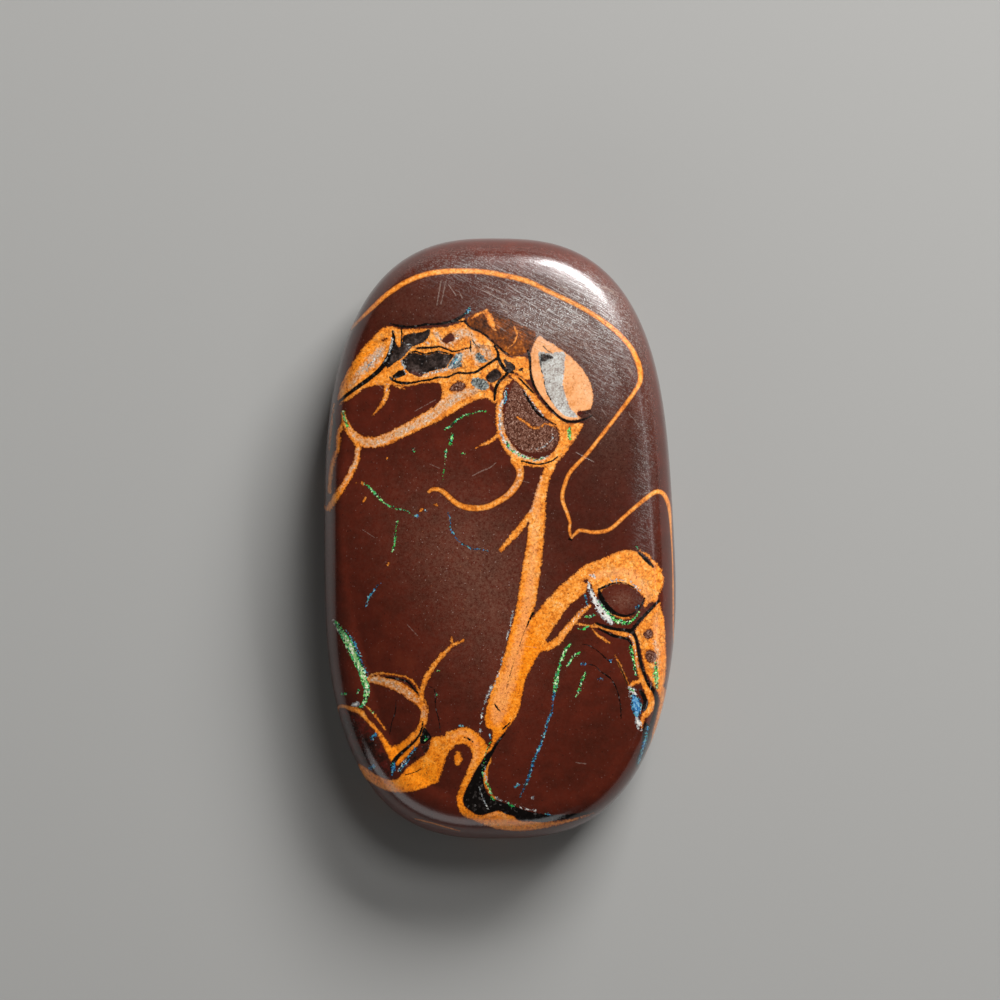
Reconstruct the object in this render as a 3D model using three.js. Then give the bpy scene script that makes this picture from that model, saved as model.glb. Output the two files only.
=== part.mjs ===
// A hand-cut, polished boulder opal: one solid pebble of ironstone with opal veins.
// It lies on its flat ground back, with the polished face up. Millimetres, +Z up.
// +Y is the long way of the oval, and +X its right side seen from above.
// The origin is the middle of the flat back.

import * as THREE from "three";

// Driving dimensions
const LENGTH = 42;
const WIDTH = 24.6;
const THICKNESS = 7.6;
const BELT_HEIGHT = 3.2; // where the stone is widest
const BACK_ROUND = 0.17; // how far the back's edge is rounded in, as a share of the way to the middle
const DOME = 0.75; // how much the polished face falls from its middle to its shoulder
const SWELL = 0.07; // unevenness left by polishing the face by hand
const SWELL_ACROSS = 4.1;
const SWELL_ALONG = 6.3;

// The outline is a squarish oval, a little lopsided because it was cut by eye.
const SQUARENESS = 2.75;
const LOPSIDED = [
  { waves: 2, cosine: 0, sine: -0.007 },
  { waves: 3, cosine: 0.0028, sine: -0.008 },
  { waves: 4, cosine: 0, sine: -0.003 },
];

// The rolled edge from belt to face, in eight directions, anticlockwise from +X.
// Its width is a share of the way to the middle. A fullness of 2 is a quarter round, and more is squarer.
const EDGE_WIDTH = allRound([0.185, 0.215, 0.15, 0.14, 0.12, 0.2, 0.13, 0.115]);
const EDGE_FULLNESS = allRound([2.1, 2.4, 2.3, 2.1, 2, 2.3, 2.2, 2.1]);
const SHOULDER_FALL = allRound([0.1, 0.1, 0.05, 0.2, 0.25, 0.85, 0.35, 0.1]); // mm below the dome

// Fineness of the solid
const DIRECTIONS = 112;
const BACK_STEPS = 4;
const EDGE_STEPS = 7;
const FACE_STEPS = 8;

const QUARTER_TURN = Math.PI / 2;

// Values given in evenly spread directions become one smooth value for any angle.
function allRound(values) {
  const points = values.map((value) => new THREE.Vector3(value, 0, 0));
  const curve = new THREE.CatmullRomCurve3(points, true, "catmullrom");
  return (angle) => {
    const turn = THREE.MathUtils.euclideanModulo(angle / (2 * Math.PI), 1);
    return curve.getPoint(turn).x;
  };
}

// Distance from the middle to the outline at the belt.
function reach(angle) {
  const across = Math.abs(Math.cos(angle) / (WIDTH / 2));
  const along = Math.abs(Math.sin(angle) / (LENGTH / 2));
  const oval = (across ** SQUARENESS + along ** SQUARENESS) ** (-1 / SQUARENESS);
  let lopsided = 1;
  for (const { waves, cosine, sine } of LOPSIDED) {
    lopsided += cosine * Math.cos(waves * angle) + sine * Math.sin(waves * angle);
  }
  return oval * lopsided;
}

// Height of the polished face at a share of the way out from its middle to its shoulder.
function faceHeight(angle, shoulder, share) {
  const x = share * shoulder * Math.cos(angle);
  const y = share * shoulder * Math.sin(angle);
  const swell = SWELL * Math.sin(x / SWELL_ACROSS + 0.6) * Math.cos(y / SWELL_ALONG - 0.4);
  return THICKNESS - DOME * share ** 2 - SHOULDER_FALL(angle) * share ** 4 + swell;
}

// The stone's section in one direction, from the middle of the back round to the middle of the face.
function section(angle) {
  const belt = reach(angle);
  const width = belt * EDGE_WIDTH(angle);
  const shoulder = belt - width;
  const shoulderHeight = faceHeight(angle, shoulder, 1);
  const points = [new THREE.Vector2(0, 0)];

  for (let step = 0; step < BACK_STEPS; step++) {
    const turn = (step / BACK_STEPS) * QUARTER_TURN;
    const inset = belt * BACK_ROUND * (1 - Math.sin(turn));
    points.push(new THREE.Vector2(belt - inset, BELT_HEIGHT * (1 - Math.cos(turn))));
  }

  const power = 2 / EDGE_FULLNESS(angle);
  for (let step = 0; step < EDGE_STEPS; step++) {
    const turn = (step / EDGE_STEPS) * QUARTER_TURN;
    const inset = width * (1 - Math.cos(turn) ** power);
    const height = THREE.MathUtils.lerp(BELT_HEIGHT, shoulderHeight, Math.sin(turn) ** power);
    points.push(new THREE.Vector2(belt - inset, height));
  }

  for (let step = 0; step <= FACE_STEPS; step++) {
    const share = 1 - step / FACE_STEPS;
    points.push(new THREE.Vector2(share * shoulder, faceHeight(angle, shoulder, share)));
  }
  return points;
}

// A round blank is turned first, then each of its sections is moved to the real outline.
function stoneGeometry() {
  const geometry = new THREE.LatheGeometry(section(0), DIRECTIONS);
  const position = geometry.getAttribute("position");
  let vertex = 0;
  for (let side = 0; side <= DIRECTIONS; side++) {
    const angle = ((side % DIRECTIONS) / DIRECTIONS) * 2 * Math.PI;
    for (const point of section(angle)) {
      position.setXYZ(vertex, point.x * Math.cos(angle), point.x * Math.sin(angle), point.y);
      vertex += 1;
    }
  }
  fitToSize(geometry);
  geometry.computeVertexNormals();
  return geometry;
}

// Centres the outline on the origin and brings the stone to its exact size.
function fitToSize(geometry) {
  geometry.computeBoundingBox();
  const middle = geometry.boundingBox.getCenter(new THREE.Vector3());
  const size = geometry.boundingBox.getSize(new THREE.Vector3());
  geometry.translate(-middle.x, -middle.y, 0);
  geometry.scale(WIDTH / size.x, LENGTH / size.y, THICKNESS / size.z);
}

const ironstone = new THREE.MeshStandardMaterial({
  color: 0x4a1d13,
  roughness: 0.25,
  metalness: 0,
});

const stone = new THREE.Mesh(stoneGeometry(), ironstone);
stone.name = "boulder_opal";

const part = new THREE.Group();
part.add(stone);

export default part;
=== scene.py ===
# A polished boulder opal: ironstone with orange limonite veins and thin lines of opal.
# The stone is one mesh around the frame's solid. Its fields of distance to each vein and crack,
# kept on the mesh, steer a procedural material.

import math

import bmesh
import bpy
import numpy as np
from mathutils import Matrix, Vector
from mathutils.geometry import delaunay_2d_cdt


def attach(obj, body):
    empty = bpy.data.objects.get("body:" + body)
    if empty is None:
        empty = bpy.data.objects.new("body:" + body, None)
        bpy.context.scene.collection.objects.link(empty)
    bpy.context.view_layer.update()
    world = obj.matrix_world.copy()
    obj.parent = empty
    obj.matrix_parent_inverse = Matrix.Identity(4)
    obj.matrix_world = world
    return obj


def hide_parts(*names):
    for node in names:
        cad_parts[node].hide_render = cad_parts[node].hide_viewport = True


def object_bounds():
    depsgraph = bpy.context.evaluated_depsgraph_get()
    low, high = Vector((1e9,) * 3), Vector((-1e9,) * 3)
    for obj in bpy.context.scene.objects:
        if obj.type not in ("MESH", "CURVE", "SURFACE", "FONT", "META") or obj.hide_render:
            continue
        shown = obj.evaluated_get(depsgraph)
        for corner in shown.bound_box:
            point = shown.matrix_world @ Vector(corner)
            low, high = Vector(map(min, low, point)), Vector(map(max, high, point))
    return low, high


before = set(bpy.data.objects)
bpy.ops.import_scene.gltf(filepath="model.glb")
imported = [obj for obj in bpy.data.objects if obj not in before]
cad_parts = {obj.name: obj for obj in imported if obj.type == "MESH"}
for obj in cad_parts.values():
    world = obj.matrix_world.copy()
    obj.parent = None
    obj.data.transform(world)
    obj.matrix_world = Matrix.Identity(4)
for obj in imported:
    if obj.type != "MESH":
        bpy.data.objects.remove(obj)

cad_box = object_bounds()

MM_PER_METRE = 1000

# Camera: it looks straight down on the polished face. Millimetres.
LENS = 180
SENSOR = 36
CAMERA_HEIGHT = 353.2
CAMERA_ALONG = 2.695
PHOTO_SIZE = 1000  # pixels each way

# Lights: degrees from +X and up, metres away, width and height in metres, watts
LIGHTS = {
    "key": (60, 29, 0.45, (0.25, 0.15), 3.8),
    "top": (58, 54, 0.6, (0.24, 0.16), 1.05),
    "side": (6, 44, 0.5, (0.42, 0.04), 0.16),
    "fill": (246, 21, 0.6, (0.9, 0.26), 0.85),
}
STUDIO_COLOUR = (1, 0.97, 0.93, 1)
STUDIO_STRENGTH = 0.035
FLOOR_COLOUR = (0.31, 0.306, 0.295, 1)
FLOOR_HALF = 0.6  # metres

# The stone's form, as in its solid. Millimetres.
LENGTH = 42
WIDTH = 24.6
THICKNESS = 7.6
BELT_HEIGHT = 3.2
BACK_ROUND = 0.17
DOME = 0.75
SWELL = 0.07
SWELL_ACROSS = 4.1
SWELL_ALONG = 6.3
SWELL_START_ACROSS = 0.6
SWELL_START_ALONG = -0.4
SQUARENESS = 2.75
LOPSIDED = [(2, 0, -0.007), (3, 0.0028, -0.008), (4, 0, -0.003)]  # waves, cosine, sine
EDGE_WIDTH = [0.185, 0.215, 0.15, 0.14, 0.12, 0.2, 0.13, 0.115]
EDGE_FULLNESS = [2.1, 2.4, 2.3, 2.1, 2, 2.3, 2.2, 2.1]
SHOULDER_FALL = [0.1, 0.1, 0.05, 0.2, 0.25, 0.85, 0.35, 0.1]

# Fineness of the mesh. Spacings are in pixels of the photograph, about 0.07 mm each.
EDGE_SPACING = 1.3  # along and beside the edges of the pattern
EDGE_CLEARANCE = 0.9
FILL_SPACING = 3.2
BACK_SPACING = 3.6
BACK_SCALE = PHOTO_SIZE * LENS / SENSOR / 350  # pixels to a millimetre of the back
GIRDLE_STEPS = 640
BEVEL_ROWS = 10
UNDER_ROWS = 15
FACE_TURN = math.radians(30)  # the face's own mesh ends where the rolled edge is this steep
OUTLINE_SAMPLES = 2880  # directions in which the outline is measured
FACE_SAMPLES = 60  # from the middle of the face to its shoulder
DIRECTION_STEP = 16  # only every sixteenth direction is sampled there
PLACING_ROUNDS = 14  # after so many the place of a pixel on the domed face stands still
WELD_DISTANCE = 1e-6  # metres
CUTTING_EXACTNESS = 1e-5  # pixels within which two places are one
NEAR_ZERO = 1e-6

# Distances to the pattern, in pixels
FIELD_REACH = 14  # distances are only told apart up to here
CURVE_STEP = 2
LEAST_WIDTH = 0.2  # of a line
RUN_LENGTH = 12  # steps of a curve that are measured together

# Down the sides, where the photograph shows little, the veins slant and wander.
# Heights and depths in millimetres, shifts in pixels for each millimetre of depth under the first.
SIDE_TOP = 5
SIDE_SLANT = (0.4, -0.5)  # across and along, times the square of the depth
SIDE_WAVES = [
    # shift across and along, pixels to a radian across and along, start
    ((2.6, 0), (71, 33), 0),
    ((1.2, 0), (17, math.inf), -1),
    ((0, 2.8), (29, -83), 2),
    ((0, 1.1), (math.inf, 15), 0),
]
GROUND_UP_TO = 1.2
SCRATCHED_FROM = 4
WORN_AND_SHEEN_FROM = 4.4
FRAYED_FROM = 4.7
LEAST_FRAYED = 0.22
FADE = 1.4  # height over which wear and fraying come to their full strength

# The map of the surface: how long it is in millimetres of the stone, where the upper side and the
# back have their middles in it, and how much the sides are spread out.
MAP_LENGTH = LENGTH + 7
BELT_SLACK = 1e-4  # a face that dips under the belt by less is still of the upper side
MAP_TOP_MIDDLE = 0.315
MAP_BACK_MIDDLE = 0.815
MAP_BACK_SHRINK = 1.7
MAP_SIDE_TOP = 7
MAP_CORE = 4  # nearer to the middle than this, nothing is spread
MAP_TOP_SPREAD = 0.75
MAP_BACK_SPREAD = 0.85

# For each field of the pattern: how far its edge wanders, broadly and finely, and the distances
# at which its colour sets in and is full. Pixels.
EDGES = {
    "vein": (4.5, 3, 0.45, -0.45),
    "pale": (8, 6, 2, -2.5),
    "soft": (12, 6, 3, -4),
    "peach": (2.5, 2, 0.5, -0.5),
    "amber": (4, 2.5, 0.5, -0.5),
    "tan": (3, 2.5, 0.6, -1.4),
    "smoky": (2.5, 2, 0.5, -0.5),
    "grey": (3, 2.5, 0.5, -0.5),
    "dark": (1.8, 1.4, 0.45, -0.45),
    "green": (3.5, 4.5, 0.2, -0.7),
    "blue": (3.5, 4.5, 0.2, -0.7),
    "white": (3.5, 4.5, 0.5, -0.5),
}

# Opal: the distances at which a line of it turns broad, its colours by chance where it is thin,
# and those where it is broad
OPALS = {
    "white": (
        -0.7, -2,
        [(0, "5c646c"), (0.4, "8e9494"), (0.75, "b0aea8"), (1, "eeeae0")],
        [(0, "b4b4b4"), (0.5, "dcd8d0"), (1, "f6f2e8")],
    ),
    "green": (
        -1.7, -2.6,
        [(0, "12201a"), (0.34, "1a3c2c"), (0.46, "209c44"), (0.62, "4ccc58"), (0.76, "2ea486"),
         (0.88, "9cdc84"), (1, "e4f2cc")],
        [(0, "387850"), (0.3, "78b06a"), (0.6, "a8c686"), (0.8, "c8d4a6"), (1, "ecf2dc")],
    ),
    "blue": (
        -1.4, -2.4,
        [(0, "11181c"), (0.34, "14303c"), (0.52, "1a5c84"), (0.74, "3a8cc0"), (0.86, "2f9a88"),
         (1, "a0ccdc")],
        [(0, "1c5c94"), (0.5, "3c84b8"), (1, "8cc0d8")],
    ),
}

# The pattern is placed in pixels of the photograph: x to the right, y down.
# A line's points are (x, y, width). An area's points run round its edge.

ORANGE_LINES = {
    "rim line": [
        (352, 329, 1.6), (358, 321.5, 2.6), (365, 314.5, 3.6), (374, 306, 4.4), (384.5, 296.3, 4.8),
        (395, 288.7, 5), (405, 282.5, 5), (420, 276, 5.2), (436, 272.4, 5.5), (455, 271, 5.5),
        (480, 271.5, 5.5), (502, 275, 5.5), (527, 281, 5.5), (552, 293, 5), (578, 305.5, 5), (600, 319, 5),
        (618, 333, 5), (631, 348, 5), (638.5, 364, 5.5), (640.5, 377, 5.5), (637, 388, 4.5), (622, 409, 4),
        (602, 435, 3.8), (587, 454, 3.8), (571, 471, 4), (565, 484, 4), (562.3, 498, 4), (567, 513, 3.6),
        (570, 522, 3.2), (569.4, 530, 3), (571, 537, 2),
    ],
    "rim line tail": [
        (571.5, 538, 2), (576, 533, 3.4), (580.5, 530.3, 3.4), (595, 532.3, 3.8), (610, 529, 3.8),
        (625, 516, 3.8), (642, 501.5, 4.2), (651, 494.5, 4.6), (657.5, 491.5, 4.8), (663, 493.5, 4.6),
        (667, 500, 4.2), (669.8, 511, 3.8), (671.5, 530, 3), (673, 555, 2.6), (673.6, 590, 2.4),
        (673.6, 620, 2), (673.4, 646, 0.8),
    ],
    "left margin": [
        (346, 418, 3), (339, 433, 4), (338, 448, 4), (333, 461, 4), (330.5, 475, 4), (329.5, 492, 4),
    ],
    "left margin outer": [(334, 404, 3), (331, 425, 3), (329, 450, 2)],
    "white cored vein": [
        (343, 413, 5), (346, 424, 6.5), (352, 434, 8.5), (361, 441, 11), (372, 442.5, 11), (381, 441, 11),
        (390, 437.5, 11.5), (400, 432.5, 12), (411, 427.5, 12.5), (422, 421.5, 13.5), (432, 416.5, 14.5),
        (441, 410.5, 16), (450, 404, 19), (460, 396, 22), (472, 390, 22), (484, 390, 16),
    ],
    "left branch": [
        (358, 444, 5), (357.8, 455, 5.6), (355.6, 463, 6), (351.8, 471, 6.2), (346.5, 481, 6.4),
        (341, 489.5, 6.6), (335, 498, 6.6), (328.5, 509, 6),
    ],
    "spiral": [
        (428.6, 492, 3), (431.5, 489.7, 3.6), (435, 489, 4), (440, 490, 4.6), (445, 493, 5),
        (450, 498, 5.2), (456, 503, 5.5), (463, 506.4, 5.6), (471, 508, 6), (480, 508, 6),
        (490, 505.8, 5.8), (499, 501, 6), (507, 496, 6.4), (514, 488.5, 7), (519, 480, 7.4),
        (520.3, 473.5, 7.5), (519, 467, 8), (514, 460, 8),
    ],
    "small spur": [(476, 448, 1.8), (482.5, 445, 2.4), (489, 442, 3), (494, 438.5, 3.6), (500, 434, 4)],
    "ring": [
        (508, 380, 7), (502, 386, 7), (500, 396, 6), (499.5, 408, 7.5), (499.5, 420, 8), (501, 431, 8),
        (505, 441.5, 9), (511.5, 451, 9.5), (521, 458.5, 9), (533, 462.5, 9), (544, 462.5, 9),
        (554, 457.5, 10), (561.5, 449.5, 11), (565.5, 440, 13), (567, 430, 14),
    ],
    "ring right": [
        (513, 376, 5), (520, 380.5, 7), (527, 389, 7.5), (534, 398.5, 7.5), (541, 407.5, 7.5),
        (548.5, 415, 8), (557, 422, 9), (565, 430, 10),
    ],
    "spur": [
        (532, 512, 6), (528.5, 516.5, 6), (522.5, 525, 6.4), (515, 534, 6), (507.5, 542.5, 5),
        (501.3, 549.5, 4.4),
    ],
    "thin arm": [
        (589.5, 606, 3.5), (580, 614, 5.6), (572.5, 622.5, 6), (566, 630.5, 7), (561, 637.5, 7),
        (555, 643, 7.5), (546, 647, 9),
    ],
    "loop": [
        (369, 679, 5), (375, 680, 8), (384, 681.5, 9), (392.5, 684.5, 9.6), (400, 687.5, 10),
        (407.5, 692, 10), (414, 697.5, 9.6), (420, 703, 8), (423.7, 709.5, 7), (424.4, 717, 6.6),
        (422.6, 724, 7), (418.8, 730.5, 6.4), (412, 737.8, 7), (404.5, 744, 7.2), (397.5, 750, 8),
        (393, 755, 9), (392, 761, 3),
    ],
    "antler": [
        (421.4, 700, 5), (421.6, 692, 5), (424, 684, 5), (428, 675, 5.4), (435, 664, 5), (442.5, 655, 4.6),
        (450, 647.5, 4), (455.5, 643.6, 3.4), (459, 642.3, 3), (463.4, 640.4, 2.6),
    ],
    "antler fork": [(454, 644, 2.6), (452, 641, 2.4), (451.4, 637.4, 2)],
    "lower left line": [
        (339, 704.5, 2.4), (347.5, 707.5, 4), (355, 709.5, 5.6), (361, 712.5, 5.4), (366.5, 718, 4.4),
        (372.5, 725.5, 4), (379, 733.5, 4.2), (384, 741, 5), (388, 747.5, 6.5), (392.5, 753.5, 9),
    ],
    "band under crack": [
        (397, 764, 4.6), (403, 757.5, 5), (410.5, 750, 5.4), (418, 742, 5), (422, 735, 4), (425, 727, 3),
    ],
    "band one": [
        (595, 623.5, 2.4), (602, 626.8, 3.4), (612, 630.8, 3.6), (623, 633.4, 4), (630.6, 636, 4.4),
        (633.8, 642, 4), (635.4, 652, 4), (637.3, 664, 4), (640.5, 675, 5), (645.5, 686, 6.4),
        (650, 695, 7.4), (651.4, 703, 7.4), (649, 711, 6.6), (644, 716, 5.6), (641.5, 722, 3.6),
        (642, 728, 2),
    ],
    "band two": [(592, 627, 2), (598, 627.2, 2), (608, 630.5, 2), (617, 634, 2), (626, 636, 2)],
    "orange dash": [(592.5, 629, 1.6), (597.5, 635, 2.4), (603, 639, 2.4), (610, 643, 1.6)],
    "yellow dash": [(577.5, 623.6, 1.6), (585, 625.3, 1.8), (592.5, 625.6, 1.6)],
    "slant line": [(615, 655, 1.2), (619, 663, 2), (623.5, 673, 2), (628.5, 684.5, 1.8)],
    "bridge": [(629, 686, 3), (634, 683, 4), (640, 681, 4)],
    "inner strip": [
        (491, 757, 2), (488.6, 763, 3.6), (486.2, 770, 4.4), (485.4, 778, 4.6), (487, 786, 4.2),
        (490.5, 793, 3), (495, 798.5, 1.4),
    ],
    "pool line": [
        (477.5, 774, 1.4), (473, 783, 1.6), (469.5, 793, 1.6), (469.4, 801, 1.4), (473, 809, 1.2),
    ],
    "edge line": [
        (414, 818.5, 0.8), (424, 821, 1.4), (434, 823.5, 1.2), (444, 826.5, 1.4), (460, 831, 0.8),
    ],
    "outer band": [
        (663.5, 688, 3.4), (662, 700, 4), (659.5, 713, 4), (655.5, 729, 4), (650, 745, 3.6),
        (644, 758, 2.6),
    ],
    "drip": [(396.5, 330, 5), (397.4, 338, 4.4), (398.6, 345, 2.4)],
    "notch sliver": [(639.5, 550.3, 1.6), (647, 555, 2.4), (654, 562.5, 3.4), (660, 571, 5)],
    "crack strip": [(393, 384, 1.6), (399, 387.4, 2), (405, 389, 1.2)],
    "left spur": [
        (386, 376, 7), (387, 385, 6), (386.6, 393, 5.4), (384, 401, 4.4), (379, 408, 3), (371.5, 416.5, 1),
    ],
    "loop top line": [
        (370, 676, 2.4), (376, 673.5, 2.2), (385, 673.6, 2), (393, 674.4, 2), (401, 675.8, 2),
        (408, 678, 2.2), (413.5, 682.5, 2.2), (419.5, 691, 2.4),
    ],
    "lobe thread": [(425, 700, 1.6), (427.4, 708, 1.6), (426.4, 718, 1.4), (425, 728, 1.2)],
    "spark a": [(386.6, 459.6, 1.2), (387.6, 457.8, 1.4)],
    "spark b": [(363, 502.4, 1.4), (365.8, 497.6, 1.6)],
    "spark c": [(355, 483, 1), (358, 483, 1.2)],
    "spark d": [(362, 482.6, 1.8), (363, 484.6, 2)],
    "spark e": [(420, 511, 1.8), (421.6, 509.4, 2)],
    "spark f": [(434.6, 505, 2.2), (437, 504.8, 2.2)],
    "spark g": [(387.4, 566, 1.8), (388.4, 563, 2.2)],
    "seam dot": [(459.6, 320.6, 3), (463, 319.4, 3.4)],
}

# The dark pool's lower and left edge, where it meets the bottom arch
POOL_SHORE = [
    (543, 822), (530, 821), (518, 820), (514, 816), (506, 814), (499, 810.5), (491, 812.5), (479, 815),
    (471, 811), (465, 806), (463, 799), (466, 790), (471, 780), (476, 770), (481, 762.5), (486, 755),
]

ORANGE_AREAS = {
    "almond": [
        (337, 400), (341, 385), (347, 372), (354, 360), (362, 349), (371, 339), (380, 330), (387, 326),
        (391.5, 327), (393, 336), (391, 347), (387, 358), (381, 367), (374, 374), (365, 381), (356, 388),
        (347, 395), (341, 400),
    ],
    "complex": [
        (339, 405), (345, 402), (351, 398), (358, 393), (365, 388.5), (372, 386), (380, 385), (386, 385.5),
        (393, 385), (400, 386), (407, 386), (417, 385), (427, 383), (436, 382.5), (441, 386), (442, 393),
        (441, 402), (450, 412), (465, 405.5), (475, 400), (483, 397.5), (489, 399), (494, 404), (498, 400),
        (498, 390), (500, 383), (508, 376), (515, 373), (521, 377), (529, 380), (531, 372), (530, 364),
        (526, 357), (519, 355.5), (512, 357.5), (505, 354), (498, 347.5), (490, 340), (482, 333.5),
        (474, 330), (468, 325), (462, 321), (456, 323.5), (447, 326.5), (437, 327.5), (427, 328.5),
        (417, 328.5), (405, 329), (397, 328.5), (391, 326.5), (391, 352), (387, 362), (378, 372),
        (367, 381), (354, 391), (345, 398),
    ],
    "ring triangle": [
        (556, 419), (563, 422.5), (571, 424), (582.5, 423), (581.5, 429), (575.5, 438.5), (569.5, 447.5),
        (563.5, 455), (557, 463.5), (553, 470), (549, 466), (543, 466), (534, 467.5), (526, 465.5),
        (520, 466.5), (514, 461), (520, 455), (534, 462), (552, 458), (560, 446), (561, 434),
    ],
    "trunk": [
        (542.5, 472), (538, 484), (534, 499), (530.5, 512), (528.5, 524), (527.5, 537), (525, 553),
        (522, 571), (518.5, 592), (515, 614), (510.5, 630), (507.3, 642), (503.6, 657), (499, 670),
        (493.5, 684), (489.5, 696), (486.3, 708), (484.6, 719), (486, 726.5), (491.5, 730.5), (492.6, 738),
        (490.5, 746), (488, 751.5), (491.5, 751), (496, 742.5), (502.5, 734.5), (510, 725.5), (515, 718.5),
        (519, 711), (521, 702), (523, 690), (525, 680.5), (531, 668.5), (537.5, 656.5), (544, 650),
        (552.5, 645), (546, 640), (552.5, 630), (560, 618.5), (568.5, 606.5), (578, 598.5), (586, 592.5),
        (590, 584), (596, 597), (603, 606), (611, 614), (622, 619), (634, 617.5), (644, 609), (650, 602.5),
        (657, 602), (659, 594), (663, 586), (664, 578), (660.5, 570.5), (653, 566), (645, 558.5),
        (638, 552), (628.5, 550), (618.5, 551.3), (610, 555), (600, 559.3), (590, 562.5), (580, 568.8),
        (570, 577.5), (560, 586.3), (550, 596.3), (540, 607.3), (532, 617.6), (535.5, 604), (538.6, 586),
        (541, 566), (543, 550), (544.4, 534), (545.5, 517), (546.2, 500), (548, 487.5), (550.8, 476),
        (554.5, 468), (549, 465),
    ],
    "right margin": [
        (659, 602), (661.5, 610), (664.5, 620), (665.5, 640), (666.5, 662), (665.5, 677), (662.5, 690),
        (660, 700), (657.5, 692), (654, 686), (650, 679), (646, 671), (643, 661), (641, 650), (638, 639),
        (635, 631), (641, 622), (648, 614), (654, 607),
    ],
    "bottom arch": [
        (375, 785), (385, 790), (397, 792.5), (410, 792), (421, 789), (431, 785), (438, 782), (441, 775),
        (444, 765), (447, 756), (451, 749), (457, 745), (464, 744), (469, 747), (472, 754), (471, 761),
        (468, 768), (465, 775), (461, 785), (457, 796), (457.5, 806), (463, 815), (474, 821), (488, 826),
        (500, 829.5), (515, 831), (530, 830.5), (545, 828), (560, 824.5), (575, 820.5), (590, 815.5),
        (597, 812), (583, 816), (570, 819), (556, 821), *POOL_SHORE, (490, 750), (487, 745), (484, 741),
        (479, 734), (472, 729), (464, 727.5), (455, 729), (446, 732.5), (444, 736), (437, 736), (432, 738),
        (430, 744), (427, 751), (421, 758), (413, 763), (406, 768), (402, 774), (397, 779), (388, 779),
        (380, 776.5), (372, 772), (364, 766), (358, 761), (362, 771), (368, 779),
    ],
    "arch dot": [
        (458, 750.5), (461.5, 754), (462.3, 760), (459.5, 765), (455.5, 765), (454, 759), (455, 753),
    ],
    "lower left knot": [
        (386, 744), (391, 747.5), (397, 745), (401, 746), (397, 753), (393.5, 760.5), (390.5, 757.5),
        (388, 751),
    ],
}

INNER_LINES = {
    "loop spur": [(366, 706, 2), (372, 712, 2), (379, 721, 1.6), (386, 730, 0.8)],
    "kidney swirl": [
        (517, 417, 1.2), (521, 419.5, 2), (527.5, 424, 2.2), (533.8, 428.4, 2.4), (540, 427.3, 2),
        (545, 424.2, 2), (551, 425, 1.6), (557.5, 431, 1),
    ],
    "amber streak": [(486, 311, 4), (489, 317, 6), (492, 324, 6), (494.5, 330, 3)],
    "amber streak two": [(514, 327, 1.6), (517, 334, 2.6), (514, 343, 2), (508, 348, 1)],
    "amber streak three": [(472, 318, 2.4), (478, 314, 2.6), (483, 312.5, 2)],
    "lens shelf": [(404, 372, 1.4), (410, 376, 1.2)],
}

ISLANDS = {
    "upper hole": [(442.5, 341), (446, 336), (451, 333.5), (454.5, 337.5), (452, 341.5), (447, 342.8)],
    "almond hole": [(382.5, 340), (385.5, 337.5), (387.5, 339), (384.5, 341.5)],
    "brown pocket": [
        (450, 389), (454, 383.5), (460, 381), (465, 384), (464, 389), (458, 391), (453, 391.5),
    ],
    "dark pocket": [
        (486, 377), (491, 371.5), (496, 369), (500, 372), (501.5, 376), (497, 380), (492, 382.5),
        (488, 381),
    ],
    "pocket tail": [(490, 384), (494, 387), (494.5, 393), (491, 391)],
    "kidney": [
        (515.6, 380.8), (520, 385), (524, 391.5), (529, 400), (534, 409), (540.5, 416.5), (548, 421),
        (556, 427.5), (559, 436), (557.5, 443.5), (551, 449.5), (542, 452.5), (532, 453), (522, 450),
        (513, 443.5), (507, 435), (504, 426), (504.5, 414), (507, 402), (509.5, 391), (512.5, 384),
    ],
    "core": [
        (602.5, 591), (607, 586), (615, 584.4), (624, 583.8), (631.5, 587.5), (639, 592.5), (643.8, 599),
        (643.3, 607), (637.5, 613.5), (630, 617), (619, 616), (610, 611), (602.5, 605), (596.5, 598),
        (598, 593.5),
    ],
    "branch hole": [(583.5, 581.5), (586.5, 578.5), (588, 581), (586, 583.5)],
    "island in loop": [
        (371, 687), (378, 686), (388, 688.5), (396, 691.5), (403, 695), (409, 701), (416, 706), (419, 712),
        (419.5, 719), (416, 726), (410, 733), (402, 739), (394, 743.5), (388, 740), (381, 731), (372, 722),
        (365.5, 713), (369, 703), (370.5, 694),
    ],
    "arch wedge": [
        (480, 729.5), (486, 728.5), (489, 731.5), (492.5, 737), (491.5, 742), (488.6, 747.5), (485.2, 741),
    ],
}

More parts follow.
